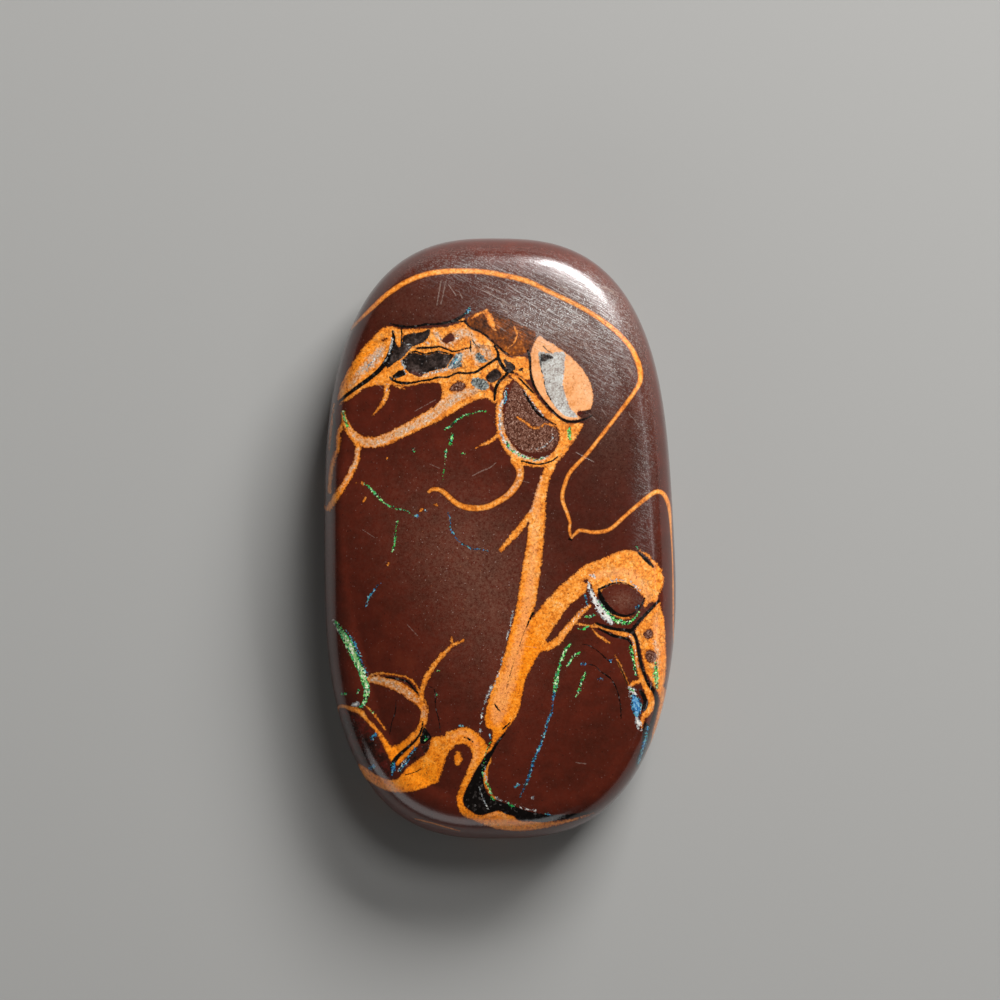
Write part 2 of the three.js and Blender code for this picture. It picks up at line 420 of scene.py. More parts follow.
PALE_LINES = {
    "almond core": [(349, 388, 2), (357, 377, 6), (366, 367, 10), (376, 357, 11), (382, 348, 5)],
    "margin core": [(655, 640, 2), (657, 652, 5), (657, 664, 5), (656, 674, 3)],
    "vein core": [
        (349, 429, 2), (356, 437, 4), (364, 441.5, 6.5), (374, 442.4, 7), (384, 439, 7), (396, 433.5, 7.5),
        (408, 428, 7.5), (420, 422, 7.5), (432, 415, 8.5), (443, 406, 10), (454, 398, 10), (466, 393, 9),
        (476, 390, 7),
    ],
    "branch core": [(357.5, 450, 2.5), (354, 463, 3), (347, 478, 2.5), (340, 489, 1.5)],
    "complex top": [(436, 333, 5), (446, 345.5, 4), (458, 335, 10), (468, 333, 7), (474, 341, 6)],
    "complex right": [(476, 345, 6), (486, 352, 8), (493, 359, 5)],
    "lens rim": [(422, 376, 3), (433, 373, 4), (444, 370, 4), (456, 367, 4)],
    "lens right": [(462, 357, 8), (472, 352, 7), (478, 362, 6)],
    "spiral core": [(520, 470, 2.4), (518, 480, 3), (512, 490, 3), (505, 496.5, 1.6)],
    "ring core": [(502, 405, 4.5), (501.5, 418, 4.5), (503.5, 430, 5.1)],
    "ring foot": [
        (506, 440, 4.5), (512, 447.5, 6), (520, 454.5, 5.1), (530, 458.5, 5.1), (540, 459, 4.5),
        (549, 455.5, 3),
    ],
    "trunk streak": [(541, 476, 2), (537, 487, 3.4), (533.5, 500, 3), (530.5, 513, 3)],
    "loop core": [
        (373, 680, 5), (381, 680.5, 6), (391, 684, 6), (401, 689, 6), (410, 695, 5.5), (418, 702, 4),
    ],
    "loop lower": [(424, 708, 3), (424.5, 716, 3)],
}

PEACH_LINES = {
    "trunk body": [
        (539, 480, 4), (536, 520, 6), (533, 560, 8), (528, 600, 10), (520, 640, 12), (510, 675, 14),
        (500, 705, 16), (497, 720, 10),
    ],
    "branch pale": [
        (592, 577, 7), (602, 574, 9), (614, 573, 10), (626, 573, 11), (636, 579, 10), (645, 590, 7),
        (650, 600, 5),
    ],
    "margin pale": [(656, 620, 8), (657, 635, 10), (658, 650, 8)],
    "arch pale": [
        (452, 738, 3), (459, 733.5, 4.5), (467, 735, 4.5), (474, 742, 4.5), (476.5, 752, 4), (472, 766, 3),
    ],
    "bottom pale": [(488, 815.5, 3), (497, 813.5, 4), (506, 818, 4)],
    "arm pale": [(584, 610.5, 2.4), (576, 618, 2.4), (567, 629, 2.6), (561, 637, 2.4)],
}

PEACH_AREAS = {
    "right almond": [
        (538.8, 336), (546, 340), (556, 346), (565, 352.5), (575, 361), (584, 371.5), (590, 382.5),
        (593, 394), (592.5, 403), (590, 409), (583.8, 411), (577, 414), (581, 418.5), (573, 420.3),
        (566, 419.5), (559, 415.5), (552.5, 409.5), (546.5, 403), (540, 395), (535, 385), (531.5, 374),
        (530.3, 362.5), (530.8, 352.5), (534, 344),
    ],
}

AMBER_AREAS = {
    "amber patch": [
        (467, 321.5), (471, 315), (480, 311), (489, 310.5), (499, 314.5), (510, 319), (520, 324),
        (529, 328.5), (535, 332.5), (534, 341), (530, 348.5), (525, 354), (515, 356), (507, 355),
        (500, 349), (493, 342), (486, 336), (478, 331), (470, 327),
    ],
}

TAN_AREAS = {
    "margin mottle": [(643.5, 634), (646.5, 630), (651, 629.5), (653, 633), (651.5, 637.5), (647, 638.5)],
    "margin mottle low": [
        (646, 652), (650, 650), (655, 653), (656.5, 658), (653, 663), (648, 661.5), (645, 657),
    ],
    "kidney": ISLANDS["kidney"],
    "brown pocket": ISLANDS["brown pocket"],
}

SMOKY_AREAS = {
    "almond smudge": [
        (541, 354.5), (547, 354.5), (553, 356), (554, 359), (549, 359), (545, 361.5), (541.6, 360),
    ],
    "dark pocket": ISLANDS["dark pocket"],
    "grey lens": [
        (398, 766), (404, 760), (411, 753), (416, 747), (422, 746), (428, 743), (429, 748), (424, 754),
        (417, 758), (410, 764), (405, 770), (400, 774), (397, 771),
    ],
    "blue lens": [(518, 369.5), (521, 367.8), (524, 368.5), (522, 371), (519, 371.2)],
    "black node": [(503, 359), (508, 361), (514, 364.5), (515.5, 368.5), (512, 371.5), (507, 369.5)],
    "lower left dark": [
        (339, 709), (347, 711), (355, 714), (362, 719), (369, 728), (376, 737), (382, 746), (387, 756),
        (390, 765), (392, 775), (384, 777), (376, 772), (368, 765), (357, 758), (349, 748), (343, 735),
        (339, 722),
    ],
    "lens": [
        (402, 364), (405, 359), (409, 354), (415, 353), (424, 355), (431, 354), (437.5, 352.5), (445, 354),
        (454, 355), (450, 361), (446, 367.5), (441, 369), (432.5, 371), (425, 374), (420, 377),
        (412.5, 374.5), (407, 371),
    ],
    "black patch": [
        (393, 333), (395.5, 341), (399, 347), (402, 343), (403, 337), (406, 334.5), (414, 333),
        (423, 331.5), (430, 329), (429, 336), (424, 342), (417, 345), (411, 348), (407, 353), (402, 358),
        (396, 362), (391, 366), (386, 368), (389, 360), (392, 352), (394, 343),
    ],
    "almond gap": [(577.5, 411.5), (584, 410.8), (591, 410), (589, 413), (583, 414.5), (578, 415.5)],
}

GREY_AREAS = {
    "almond grey": [
        (538.8, 352.5), (551, 353.5), (564, 352.6), (564, 372), (562.8, 384), (566, 396), (569, 406),
        (575, 413.5), (577, 417.5), (567, 416.5), (558, 410), (551.5, 401), (546, 391), (543.6, 378),
        (540, 365),
    ],
    "potch lens": [
        (471, 380), (476, 377.5), (483, 379), (488, 382.5), (489, 387.5), (484, 390.5), (477, 388.5),
        (471.5, 384.5),
    ],
    "lens blue": [
        (449, 363.5), (453, 358), (458, 353), (462.5, 355), (461, 361), (462, 366), (455, 368.5),
        (448, 369),
    ],
    "right blue": [(475, 355), (480, 353), (486, 359), (487, 362), (481, 363), (477, 360)],
}

DARK_AREAS = {
    "small triangle": [(392, 376), (398, 371), (403, 370), (406, 374), (400, 377.5), (395, 378)],
    "pool": [
        (494, 748), (489, 757), (485, 767), (483, 776), (484, 785), (487, 793), (492, 798), (498, 801),
        (506, 803), (514, 806), (524, 810), (537, 813), (552, 815), (566, 814.5), (580, 813), (592, 810.5),
        (600, 806.5), (592, 812), (580, 816), (566, 819), (552, 820.5), *POOL_SHORE,
    ],
    "green triangle": [
        (424, 727), (428, 732), (431.5, 737), (428, 741), (424, 744), (420, 743), (421, 736),
    ],
    "patch dark": [
        (638.5, 688), (643, 691.5), (647, 699), (648, 705), (645, 711), (641.5, 710), (643.4, 702),
        (640.5, 695),
    ],
    "outer black": [
        (645, 722), (650, 727), (652, 735), (650, 745), (646, 755), (642, 766), (637, 769), (636, 761),
        (640, 750), (642, 740), (643, 730),
    ],
}

DARK_LINES = {
    "trunk seam": [(526, 627, 0.3), (522, 638, 0.5), (517, 654, 0.5), (512, 668, 0.5), (506, 690, 0.3)],
    "core rim": [
        (598.5, 589, 2), (600.5, 596, 4.6), (604, 603.4, 6), (609.5, 609.6, 5.6), (616.5, 613.8, 3.6),
        (625, 616, 2.4), (634, 613, 2), (641, 606, 1.8), (644.5, 598, 1.4),
    ],
    "core rim top": [(600, 589, 3), (606, 586, 2.4), (613, 583.4, 1.8), (624, 583, 1.4), (634, 587.6, 1.6)],
    "top seam": [
        (390, 323.5, 1.6), (400, 326, 2.3), (412, 327, 2.3), (425, 324.5, 2.3), (434, 324.3, 2.3),
        (445, 323, 2.9), (455, 320.6, 3.4), (460, 317.6, 3.4), (464.5, 314.5, 2.6), (468, 310.5, 2.6),
    ],
    "dot seam": [(457, 322.5, 1.4), (462, 321.4, 1.6), (466, 321, 1.4)],
    "right seam": [
        (465, 321.5, 2.1), (470, 327.5, 2.1), (479, 331, 2), (486, 335.6, 2), (491.5, 340.4, 2),
        (498, 346.3, 2), (503, 350.8, 2.1), (509, 354.6, 1.6),
    ],
    "almond seam": [
        (392.8, 331, 2), (393.5, 338, 3.9), (392, 347, 4.7), (388.5, 357, 5.2), (382, 367, 4.7),
        (374, 374.8, 4.4), (365, 381.8, 4.4), (355, 388.8, 3.9), (346, 395.5, 3.4), (339.5, 401, 2.6),
    ],
    "drip crack": [(401.5, 328, 1.6), (401.7, 336, 1.7), (401.3, 345, 2)],
    "crack one": [
        (417, 348.4, 2.3), (424, 347.8, 2.5), (432, 347.6, 2.3), (440, 346.8, 2.1), (447.5, 349.6, 1.6),
        (455, 351.2, 1.4), (462.5, 349.4, 1.4), (470, 347.6, 1.4),
    ],
    "crack two": [
        (390, 377, 2.1), (393, 380.5, 2.5), (399, 382.4, 2.9), (406, 383.2, 2.7), (413, 382.6, 2.3),
        (421, 381, 2.1), (429, 379.8, 2.3), (438, 377.4, 2.1), (448, 376.8, 2), (457.5, 372.8, 2.3),
        (465, 373.2, 2.3), (475, 372.3, 2.6), (482.5, 367.8, 2.6), (490, 362.8, 2.6), (497, 358.4, 2.9),
    ],
    "crack three": [
        (494, 346, 1.6), (497.5, 351.5, 2.6), (499, 359, 3.4), (502.5, 366, 3.9), (507, 371, 3.4),
        (513, 372.3, 2.6),
    ],
    "crack four": [
        (509.5, 370.8, 2.9), (504, 377, 2.9), (499, 381.5, 2.9), (496, 387.5, 3.1), (495, 393.5, 2.9),
        (494.4, 400, 2.1),
    ],
    "stem crack": [(470.6, 340, 1.3), (470.6, 346, 1.3), (470.8, 351.5, 1.3)],
    "stem crack two": [(471.5, 334, 0.9), (473.5, 342, 0.9), (480, 348, 0.8)],
    "lens outline": [
        (403, 361, 2.1), (409, 353.5, 1.8), (416, 351.6, 1.6), (424, 354, 1.6), (431, 353, 1.6),
        (438, 351.4, 1.6), (446, 353, 1.6), (454, 355, 1.3),
    ],
    "almond arc": [
        (527.5, 350, 2.2), (530, 359, 2.6), (530.4, 371, 2.6), (533, 383, 2.6), (538, 393, 2.6),
        (545, 402.6, 2.6), (552.6, 411, 2.5), (560, 417.6, 2.4), (567.5, 421.2, 2.4), (577, 421.3, 2.2),
        (586, 418.6, 1.8), (592, 415.4, 1),
    ],
    "peach crack": [(543, 346, 0.8), (548, 351, 0.9), (552, 352.6, 0.8)],
    "strip crack": [(541.5, 356, 0.9), (541, 364, 1), (541.6, 371, 0.6), (546.5, 391, 1), (551, 400, 1.2)],
    "ring crack": [
        (521.5, 461, 1.8), (530, 463, 2), (537, 464.2, 2), (545, 463.2, 1.8), (552.5, 460.6, 1.7),
        (558, 456.4, 1.3),
    ],
    "kidney crystals": [
        (523, 391, 2.2), (528, 399, 2.8), (533.5, 408, 2.8), (540, 415.5, 2.4), (548, 420.5, 1.6),
        (556, 424.5, 1),
    ],
    "band crack": [(519, 378, 1.3), (527, 386.5, 2.1), (533.5, 393, 1.6)],
    "right crack": [
        (659, 600.5, 2.6), (650.5, 609.5, 2.8), (642.5, 617.6, 3), (636, 625, 3.2), (631.5, 631, 3.6),
    ],
    "left crack": [
        (632, 631.5, 4.7), (625, 630.2, 3.6), (617.5, 629.5, 3.4), (610, 628, 3.1), (602.5, 625.7, 2.9),
        (595.5, 623, 2.1),
    ],
    "down crack": [
        (632, 631, 3.6), (635.5, 637, 3.2), (637.5, 645, 3), (639, 654, 3), (641.5, 665.5, 3),
        (645, 676, 3), (649, 685, 3.2), (654, 692, 3.6), (656.4, 700, 3.4), (655.4, 710, 3.2),
        (652.6, 721, 3.4), (650, 730, 4),
    ],
    "inner crack": [
        (597.5, 628.6, 1.8), (605, 631.8, 2.6), (614, 635.9, 2.9), (622.5, 637.9, 2.6), (628.8, 640, 2.6),
        (631.2, 645, 2.1),
    ],
    "side crack": [(618, 662, 1.2), (623, 673, 1.4), (627.6, 684, 1.4)],
    "notch": [(638.6, 552.6, 2), (643.5, 557.5, 3.4), (649, 563, 3.2), (653, 566.8, 2)],
    "branch gap": [(533, 613, 2.6), (529.6, 619.5, 2), (526.8, 627, 1.2)],
    "loop crack": [
        (385.5, 677.6, 1.4), (394, 678, 2), (402.5, 680, 2.2), (408.8, 682.6, 2.2), (412.6, 687.6, 2),
        (417.5, 693, 1.4),
    ],
    "lower crack": [
        (423, 721.5, 1.6), (422, 728, 2), (419.6, 734, 2), (414.6, 741.4, 2.2), (406, 749, 2.8),
        (398.8, 755.2, 3.6), (394, 761.5, 4.4), (391, 768, 3),
    ],
    "island crack": [(396, 700, 0.8), (395.4, 711, 1), (392, 722, 0.9), (389.6, 734, 0.7)],
    "grey line": [
        (428.5, 686, 0.6), (434.6, 690.5, 0.8), (435.6, 707, 0.8), (438.8, 720, 0.9), (440.2, 732, 0.9),
    ],
    "seam by trunk": [
        (505, 733, 1.2), (498, 742, 2.4), (492.5, 751, 3.4), (488, 760, 3.4), (484, 769, 3.4),
    ],
    "trunk notch": [(510, 722.6, 1), (506, 726.4, 1.8), (502.6, 729.4, 1.4)],
    "trunk tear": [(494.5, 704, 1.6), (497.5, 708.5, 1.8), (500.5, 711.5, 1)],
    "dark arc one": [(582.5, 644, 0.9), (590, 646, 1), (599, 652, 1.1), (606, 658.6, 1.1), (611, 663, 0.9)],
    "dark arc two": [
        (589, 664.4, 0.9), (595, 666, 1), (601, 671.8, 1.2), (607.5, 676, 1.2), (612.5, 681, 1.3),
        (616.2, 688, 1.3), (619, 697, 1.2), (620.6, 707, 1.2), (621, 719, 1),
    ],
    "corner smudge": [(569, 538.5, 2.2), (571.5, 540, 2)],
    "arch streak": [(462, 736, 0.8), (468.5, 739, 1.6), (473.5, 742.5, 1)],
    "lobe streak": [(405, 775, 0.8), (414, 772.5, 1.1), (421, 769, 0.9)],
    "left edge seam": [(336, 404, 1), (333, 412, 2), (334.5, 424, 2), (333, 440, 1.6), (330, 456, 1.4)],
}

GREEN_LINES = {
    "ring green low": [(505, 443, 1.2), (513, 451, 1.8), (524, 457, 1.4), (535, 459.5, 1.6), (545, 458, 1)],
    "patch green": [(630, 689, 2.4), (634, 691, 2.4)],
    "pool edge green": [
        (490.5, 742, 1), (486, 752, 1.2), (484, 763, 0.8), (483, 774, 1), (486, 783, 1), (493, 797, 1.2),
    ],
    "vein start": [(343, 412, 3.4), (345, 420, 3.4), (348, 427, 3)],
    "fleck one": [(453, 434, 2.2), (451.6, 438.5, 4), (450, 443.6, 3)],
    "fleck two": [(569.5, 427.5, 3), (569, 433.5, 4.4), (570, 439.5, 3)],
    "dash arc": [
        (444.5, 429.5, 1.6), (451, 426, 2.2), (456, 421, 1.4), (461, 417.5, 2), (465, 415.2, 1.6),
        (469, 414, 2), (475, 412.6, 1.4), (480, 410.8, 1.6), (486, 411.2, 1),
    ],
    "dash down": [(446.4, 449, 1), (445.6, 453.8, 2), (445, 461, 0.8), (443.6, 472, 1), (442.6, 482, 0.8)],
    "dot b": [(412.4, 448.5, 2.2), (414, 452, 2.2)],
    "green line": [
        (364, 484, 1.4), (369, 487, 2), (373.8, 492.5, 2.6), (379, 497.6, 3), (383, 502, 2.2),
        (389, 505.8, 2.2), (395, 508.2, 1.6), (401.5, 509.6, 1.4), (407.5, 511.2, 1.2), (413, 515.5, 1),
    ],
    "dashes a": [
        (397.2, 521, 1.4), (396.6, 525, 1.6), (395.4, 531, 1.2), (395, 536, 1.8), (394.6, 543.6, 2.2),
        (393.2, 549, 2.2), (392.2, 552, 0.8),
    ],
    "ring green": [(424.6, 735.4, 1.6), (426.2, 738.6, 1.6), (424, 741, 1.4)],
    "short line": [
        (585.8, 671, 2), (585, 675, 2.6), (582.6, 680, 3.6), (580, 686, 2.6), (578.6, 692.6, 1.8),
        (575.4, 697, 1.2),
    ],
    "antler green": [(437.4, 671.6, 2.4), (438.6, 671.2, 2.4)],
    "strip green": [(486.4, 781, 1.4), (488, 785.6, 2.4), (490, 790.6, 3), (491.4, 794, 2.4)],
    "branch green": [(636, 546.6, 1), (638, 549, 1.8)],
    "core ring low": [
        (598, 601, 2), (603, 607.5, 2.4), (609, 614, 3), (615.5, 619.6, 4.4), (622, 622.6, 4.4),
        (628, 622.6, 3.6), (634, 618.6, 2.6), (639.5, 612.6, 2),
    ],
    "crack green": [
        (630, 646, 2.4), (632, 652, 3.2), (633.4, 659, 2.2), (634.6, 667, 2.4), (635.6, 675, 2),
    ],
    "foot green": [(507, 442.6, 2.6), (510, 446, 2.4)],
    "dash e": [(580, 652.6, 1.6), (575, 655.4, 2), (570.4, 660.6, 2), (567, 667, 1.8)],
    "pale blob b": [(357, 692.4, 2.4), (358.6, 690, 3)],
    "pale blob c": [(341.6, 694, 2.6), (346, 693.6, 3)],
    "dot j": [(371, 710.4, 2.4), (373, 712.6, 2.4)],
    "dot k": [(435.8, 694, 1.6), (436.4, 695, 1.6)],
    "pool green a": [(491, 796.6, 1.4), (494.6, 800.4, 1.4)],
    "pool green b": [(508, 803.6, 2), (513, 805.8, 3)],
    "yellow green dash": [(577.5, 628.6, 1), (583, 629, 2), (588.6, 626, 1.8)],
    "arm dots": [(585, 616.6, 1.4), (590, 616.4, 2), (596, 614.8, 1.4)],
    "margin glint": [(655.4, 664, 3), (656, 672, 4.6), (656.4, 680, 5), (657, 688, 3)],
    "dot a": [(462, 453.6, 2), (464, 453.8, 2)],
    "lower left opal": [
        (335, 621.5, 3), (340, 629.5, 5.4), (345.2, 637.4, 7.4), (350, 645.4, 8.2), (353.6, 653.6, 8.2),
        (357.6, 662.6, 7.8), (361.4, 671.8, 7.2), (364.8, 681, 6.6), (366.6, 689, 6.6), (366, 697, 5.4),
        (363.5, 704, 3.4), (358, 708, 2),
    ],
    "opal line": [
        (571, 643.6, 2), (567.5, 647.5, 2.6), (564.5, 652, 3.2), (562.4, 657.5, 3.2), (560.4, 663, 2.4),
        (558.6, 670, 3.6), (557.2, 676, 4.2), (556, 684, 4.8), (554.6, 691, 4.4),
    ],
}

BLUE_LINES = {
    "patch blue": [(633, 696, 5), (636, 702, 10), (637, 709, 9.6), (637, 715, 5)],
    "ring blue": [(506.4, 391, 2), (506, 399, 2.4), (504.6, 404, 1.4)],
    "lens lilac blue": [(400, 770, 2), (404, 765, 2.4), (409, 760, 2)],
    "lens blue end": [(452, 365, 2), (457, 359, 2.4)],
    "right blue end": [(478, 355, 1.4), (482, 359, 1.8)],
    "fleck three": [(470, 307.5, 2.6), (468, 311, 3.6), (466, 313.5, 2)],
    "dot c": [(416, 516.3, 2.6), (418, 515, 2.6)],
    "dot d": [(425, 510.4, 2), (426.5, 511, 2)],
    "dashes b": [
        (381, 583, 1.2), (377, 586.4, 2.2), (373, 592, 1.4), (370, 595.6, 3), (367.6, 600, 1.4),
        (366, 606, 2),
    ],
    "grey arc": [
        (448, 512.5, 1), (450.5, 520, 1.2), (450, 527.5, 1.4), (453.8, 534, 1.6), (457.5, 540, 0.9),
        (464, 544.6, 1.6), (470, 547.6, 1.8), (475, 549.2, 1.8), (481, 549.4, 1.4), (488, 551, 0.8),
    ],
    "dot f": [(581, 664, 2.2), (585, 663.8, 2.4)],
    "dot g": [(598.6, 679, 1.4), (603, 678.6, 1.6)],
    "dot h": [(610, 660.6, 1.6), (611.6, 661.6, 1.6)],
    "dash i": [(514.6, 788, 1.4), (518.6, 783.8, 2.2)],
    "blue by core": [(584.6, 594, 1.8), (585.8, 599, 2.6), (587, 604, 1.8)],
    "core blue": [(639, 604, 2), (636.6, 608, 2.6)],
    "outer blue": [
        (647.6, 727, 3), (646.4, 735, 3), (644.6, 742, 5), (643, 748, 4), (640.6, 756, 2.6),
        (638.6, 763, 3.4),
    ],
    "lower blue a": [(371.6, 738.4, 4), (375.4, 734.6, 3.4)],
    "lower blue b": [(370, 767.6, 4.6), (374, 766.4, 4.6)],
    "lower blue c": [(393.6, 764, 4.4), (393, 769.5, 5.4), (392.4, 774, 3)],
    "arch blue": [(459, 725.6, 2), (463, 725.8, 2)],
    "teal dot": [(489.6, 734, 2), (490.4, 738, 2)],
    "lens teal": [(415, 748.6, 3), (411.4, 752.6, 2.4), (408, 757.6, 2.4)],
    "pool teal": [(545, 813.4, 1.6), (550, 815, 3)],
    "lower left blue": [
        (345, 630, 1.4), (350.6, 637, 2.4), (355.4, 645, 2.8), (358.8, 653.6, 2.6), (362.4, 663, 2.6),
        (366, 672, 2.2), (368.6, 680, 1.6),
    ],
    "opal line foot": [
        (554.2, 693, 3.2), (553.4, 698, 2), (552.4, 706, 1.8), (551.4, 713, 2.4), (548.6, 719, 3.2),
        (546.6, 726.5, 2.2), (543.6, 736, 2), (540, 746, 2.8), (535.4, 756, 3.4), (531.4, 768, 3.4),
        (527.8, 780, 2.6), (523.6, 789, 2), (519.6, 797, 1.2),
    ],
}

WHITE_LINES = {
    "patch top": [(629, 687, 3), (632.6, 690.6, 6), (636, 694, 5)],
    "patch foot": [(636, 717, 4), (639, 724, 5), (640.4, 730, 3)],
    "almond crystals": [(364, 370, 1), (371, 364, 2), (377, 356.5, 2.2), (381, 351, 1)],
    "seam border": [(391.5, 334, 1.2), (391.8, 343, 1.8), (389, 353, 2), (384, 362, 1.8), (377, 369.5, 1)],
    "ring grey": [
        (507, 388, 2), (504, 397, 3), (500.5, 408, 2.6), (499.5, 425, 2.8), (503, 438, 3), (511, 449, 3.4),
        (522, 456, 3), (536, 459.5, 3), (548, 456, 2),
    ],
    "ring rim": [(523, 389, 1), (529, 397, 1.2), (535, 406, 1.2), (543, 415, 1.2)],
    "lens crystals": [
        (421, 373.5, 1.6), (430, 373, 2), (440, 370.5, 2.2), (449, 368, 3), (456, 361, 4), (461, 354, 2),
    ],
    "lens left crystals": [(401.5, 361, 2), (404, 366, 3), (406, 373, 1.6)],
    "patch sparkle": [(407, 344, 1.6), (409.5, 346.5, 1.4)],
    "lower left pale": [(333, 620, 2.4), (337, 627, 3), (341, 634, 3), (345, 642, 2)],
    "pool rim": [
        (485, 762, 0.7), (486, 776, 0.9), (490, 791, 1.2), (498, 799, 1.2), (510, 804, 1.2),
        (524, 808.5, 1), (540, 812, 0.8),
    ],
    "seam glints": [(627, 633, 0.8), (633, 642, 1), (635.6, 655, 1), (638.6, 668, 0.9)],
    "patch edge": [(629.5, 689, 2), (631, 697, 2), (634, 708, 2), (637, 721, 2.4)],
    "arm sugar": [(588, 606, 1.2), (577, 616, 1), (567, 628, 0.8)],
    "branch sugar": [(611, 580.4, 1.2), (622, 580, 1.4), (634, 584.6, 1.4), (641, 592, 1)],
    "drip sugar": [(388, 382, 1), (387, 391, 1.6), (384.5, 399, 1.2)],
    "almond": [(369, 364.4, 2.4), (372.6, 362.4, 2.2)],
    "white border": [
        (588, 581, 3), (590.4, 591, 4.4), (595.6, 602, 7), (601.5, 610.5, 9), (607.5, 617.5, 8.4),
        (612, 623, 4),
    ],
    "branch white": [(591.6, 574.4, 3.4), (594.6, 577, 3.4)],
    "trunk white": [(493.6, 684, 2.2), (491, 688, 2.6)],
    "margin": [(656.2, 676, 2), (656.8, 681, 2.4)],
    "kidney arc": [(552, 434, 0.7), (552.6, 439, 1), (547.6, 443.8, 0.8), (541, 448, 0.8), (531, 449, 0.5)],
    "lens white": [(402.6, 764, 2.4), (406.6, 760.4, 2.6)],
    "lens lilac": [(399.4, 770.6, 2.6), (401.6, 767, 2)],
    "pool strand": [(478, 785, 0.3), (481.6, 794, 0.6), (485, 803, 0.5), (488.6, 809, 0.3)],
    "patch white": [(630, 692, 2), (632.4, 696, 2.4)],
    "patch tail": [(636, 714, 2.6), (637.6, 720, 2.6), (638.4, 725, 2.2)],
    "left node": [(410, 344.4, 1.4), (409.4, 346, 1.4)],
    "top node": [(426, 342.6, 1.6), (428.6, 343.4, 1.6)],
    "bright dot": [(533, 797.2, 2.6), (533.4, 797.8, 2.6)],
    "core spots": [(613, 581.6, 1.6), (616, 582, 1.4)],
    "core spots two": [(629.6, 582, 1.8), (633, 584, 1.8), (637, 589.6, 1.8)],
    "orange glint": [(456.6, 338.4, 1.6), (458, 338.6, 1.6)],
    "trunk edge": [
        (503.4, 652, 0.8), (500.4, 667, 1.2), (497, 677.5, 1.6), (492.6, 686, 2.4), (488, 695, 1.8),
        (484, 705, 1.4), (482, 713, 1.2), (481, 723, 1), (480, 731.5, 2),
    ],
    "trunk grey edge": [(513, 611, 1.2), (509.6, 628, 1.4), (506, 641, 1.2)],
    "pale blob a": [(353, 705, 4), (357, 703.6, 5)],
}

# Scratches of the polishing
SCRATCH_LINES = {
    "long pair": [(441, 281, 0.9), (439, 293, 1.1), (437, 305, 0.6)],
    "long pair two": [(445.6, 281, 0.7), (443.5, 293, 0.9), (441, 304, 0.5)],
    "short": [(449, 285, 0.6), (456, 295, 0.6)],
    "short two": [(459, 291, 0.6), (462.5, 298, 0.5)],
    "slant": [(482, 290, 0.9), (490, 293.5, 1.1), (498, 298, 0.6)],
    "slant two": [(500, 309, 0.8), (508, 311, 0.6)],
    "amber": [(497, 325, 0.6), (506, 331, 0.5)],
    "kidney": [(472.5, 475.6, 0.5), (482.5, 470.6, 0.8), (490, 467.5, 0.7), (496, 462.5, 0.4)],
    "middle": [(576, 452, 0.5), (594, 462, 0.7)],
    "cell": [(415, 411, 0.5), (435, 400, 0.5)],
    "low": [(576, 762.5, 0.6), (586, 763.8, 0.6)],
}
BRUSH_ANGLE = math.radians(-27)  # direction of the finest scratches, down to the right
FINE_SCRATCHES = [
    # middle of the patch, its half size, angle down to the right, how many
    ((548, 303), (64, 20), 27, 46),
    ((610, 370), (30, 50), 60, 14),
    ((470, 500), (110, 160), 30, 10),
]
SCRATCH_SEED = 11
SCRATCH_TURN = 9  # usual difference from the patch's angle, in degrees
SCRATCH_LENGTH = (4, 16)
SCRATCH_WIDTH = (0.2, 0.5)
SCRATCH_END_WIDTH = 0.3

# Orange lines whose edges are smooth, while the others are frayed
CLEAN_LINES = ["rim line", "rim line tail", "spiral", "edge line"]

# Soft spots that tint the stone: (x, y), half size across and along, strength
SPOTS = {
    "dusty": [
        ((566, 330), (66, 44), 0.8), ((495, 620), (50, 70), 0.55), ((470, 560), (60, 60), 0.45),
        ((440, 520), (60, 60), 0.3), ((612, 420), (40, 60), 0.3), ((430, 300), (60, 26), 0.25),
        ((622, 600), (12, 9), 1.0),
    ],
    # worn: rougher, brushed wear round the highlight, which also carries a painted sheen of glints and haze
    "worn_and_sheen": [
        ((558, 308), (64, 36), 1.0), ((610, 356), (24, 46), 0.6), ((645, 480), (10, 110), 0.3),
        ((470, 268), (50, 16), 0.4),
    ],
    "shady": [
        ((605, 450), (62, 100), 1.0), ((440, 305), (90, 44), 0.8), ((560, 320), (60, 50), 0.5),
        ((545, 500), (20, 90), 0.5),
    ],
    "busy": [
        ((440, 348), (62, 30), 1.0), ((546, 357), (11, 7), 0.45), ((500, 375), (36, 30), 1.0),
        ((365, 352), (26, 34), 0.35), ((540, 425), (46, 56), 0.6), ((625, 600), (45, 50), 0.5),
        ((655, 650), (16, 50), 0.9), ((400, 690), (40, 20), 0.6),
    ],
    "deep": [
        ((425, 775), (62, 40), 1.0), ((500, 810), (60, 24), 0.9), ((365, 352), (26, 34), 0.8),
        ((600, 825), (80, 16), 0.5), ((520, 640), (24, 90), 0.6), ((492, 725), (30, 34), 0.8),
        ((530, 660), (26, 40), 0.6), ((400, 700), (60, 30), 0.5), ((350, 480), (30, 60), 0.5),
        ((640, 300), (60, 120), 0.4), ((394, 748), (14, 12), 0.9), ((655, 660), (16, 60), 0.5),
    ],
}


def between(before, low, high, after, share):
    """A smooth value between low and high, which also follows the values before and after them."""
    return 0.5 * (
        2 * low
        + (high - before) * share
        + (2 * before - 5 * low + 4 * high - after) * share**2
        + (3 * low - before - 3 * high + after) * share**3
    )


def around(values, angle):
    """Values given in evenly spread directions become one smooth value for any angle."""
    knots = np.array(values)
    turn = (angle / (2 * np.pi)) % 1 * len(knots)
    start = np.floor(turn).astype(int)
    return between(*(knots[(start + step) % len(knots)] for step in (-1, 0, 1, 2)), turn - start)


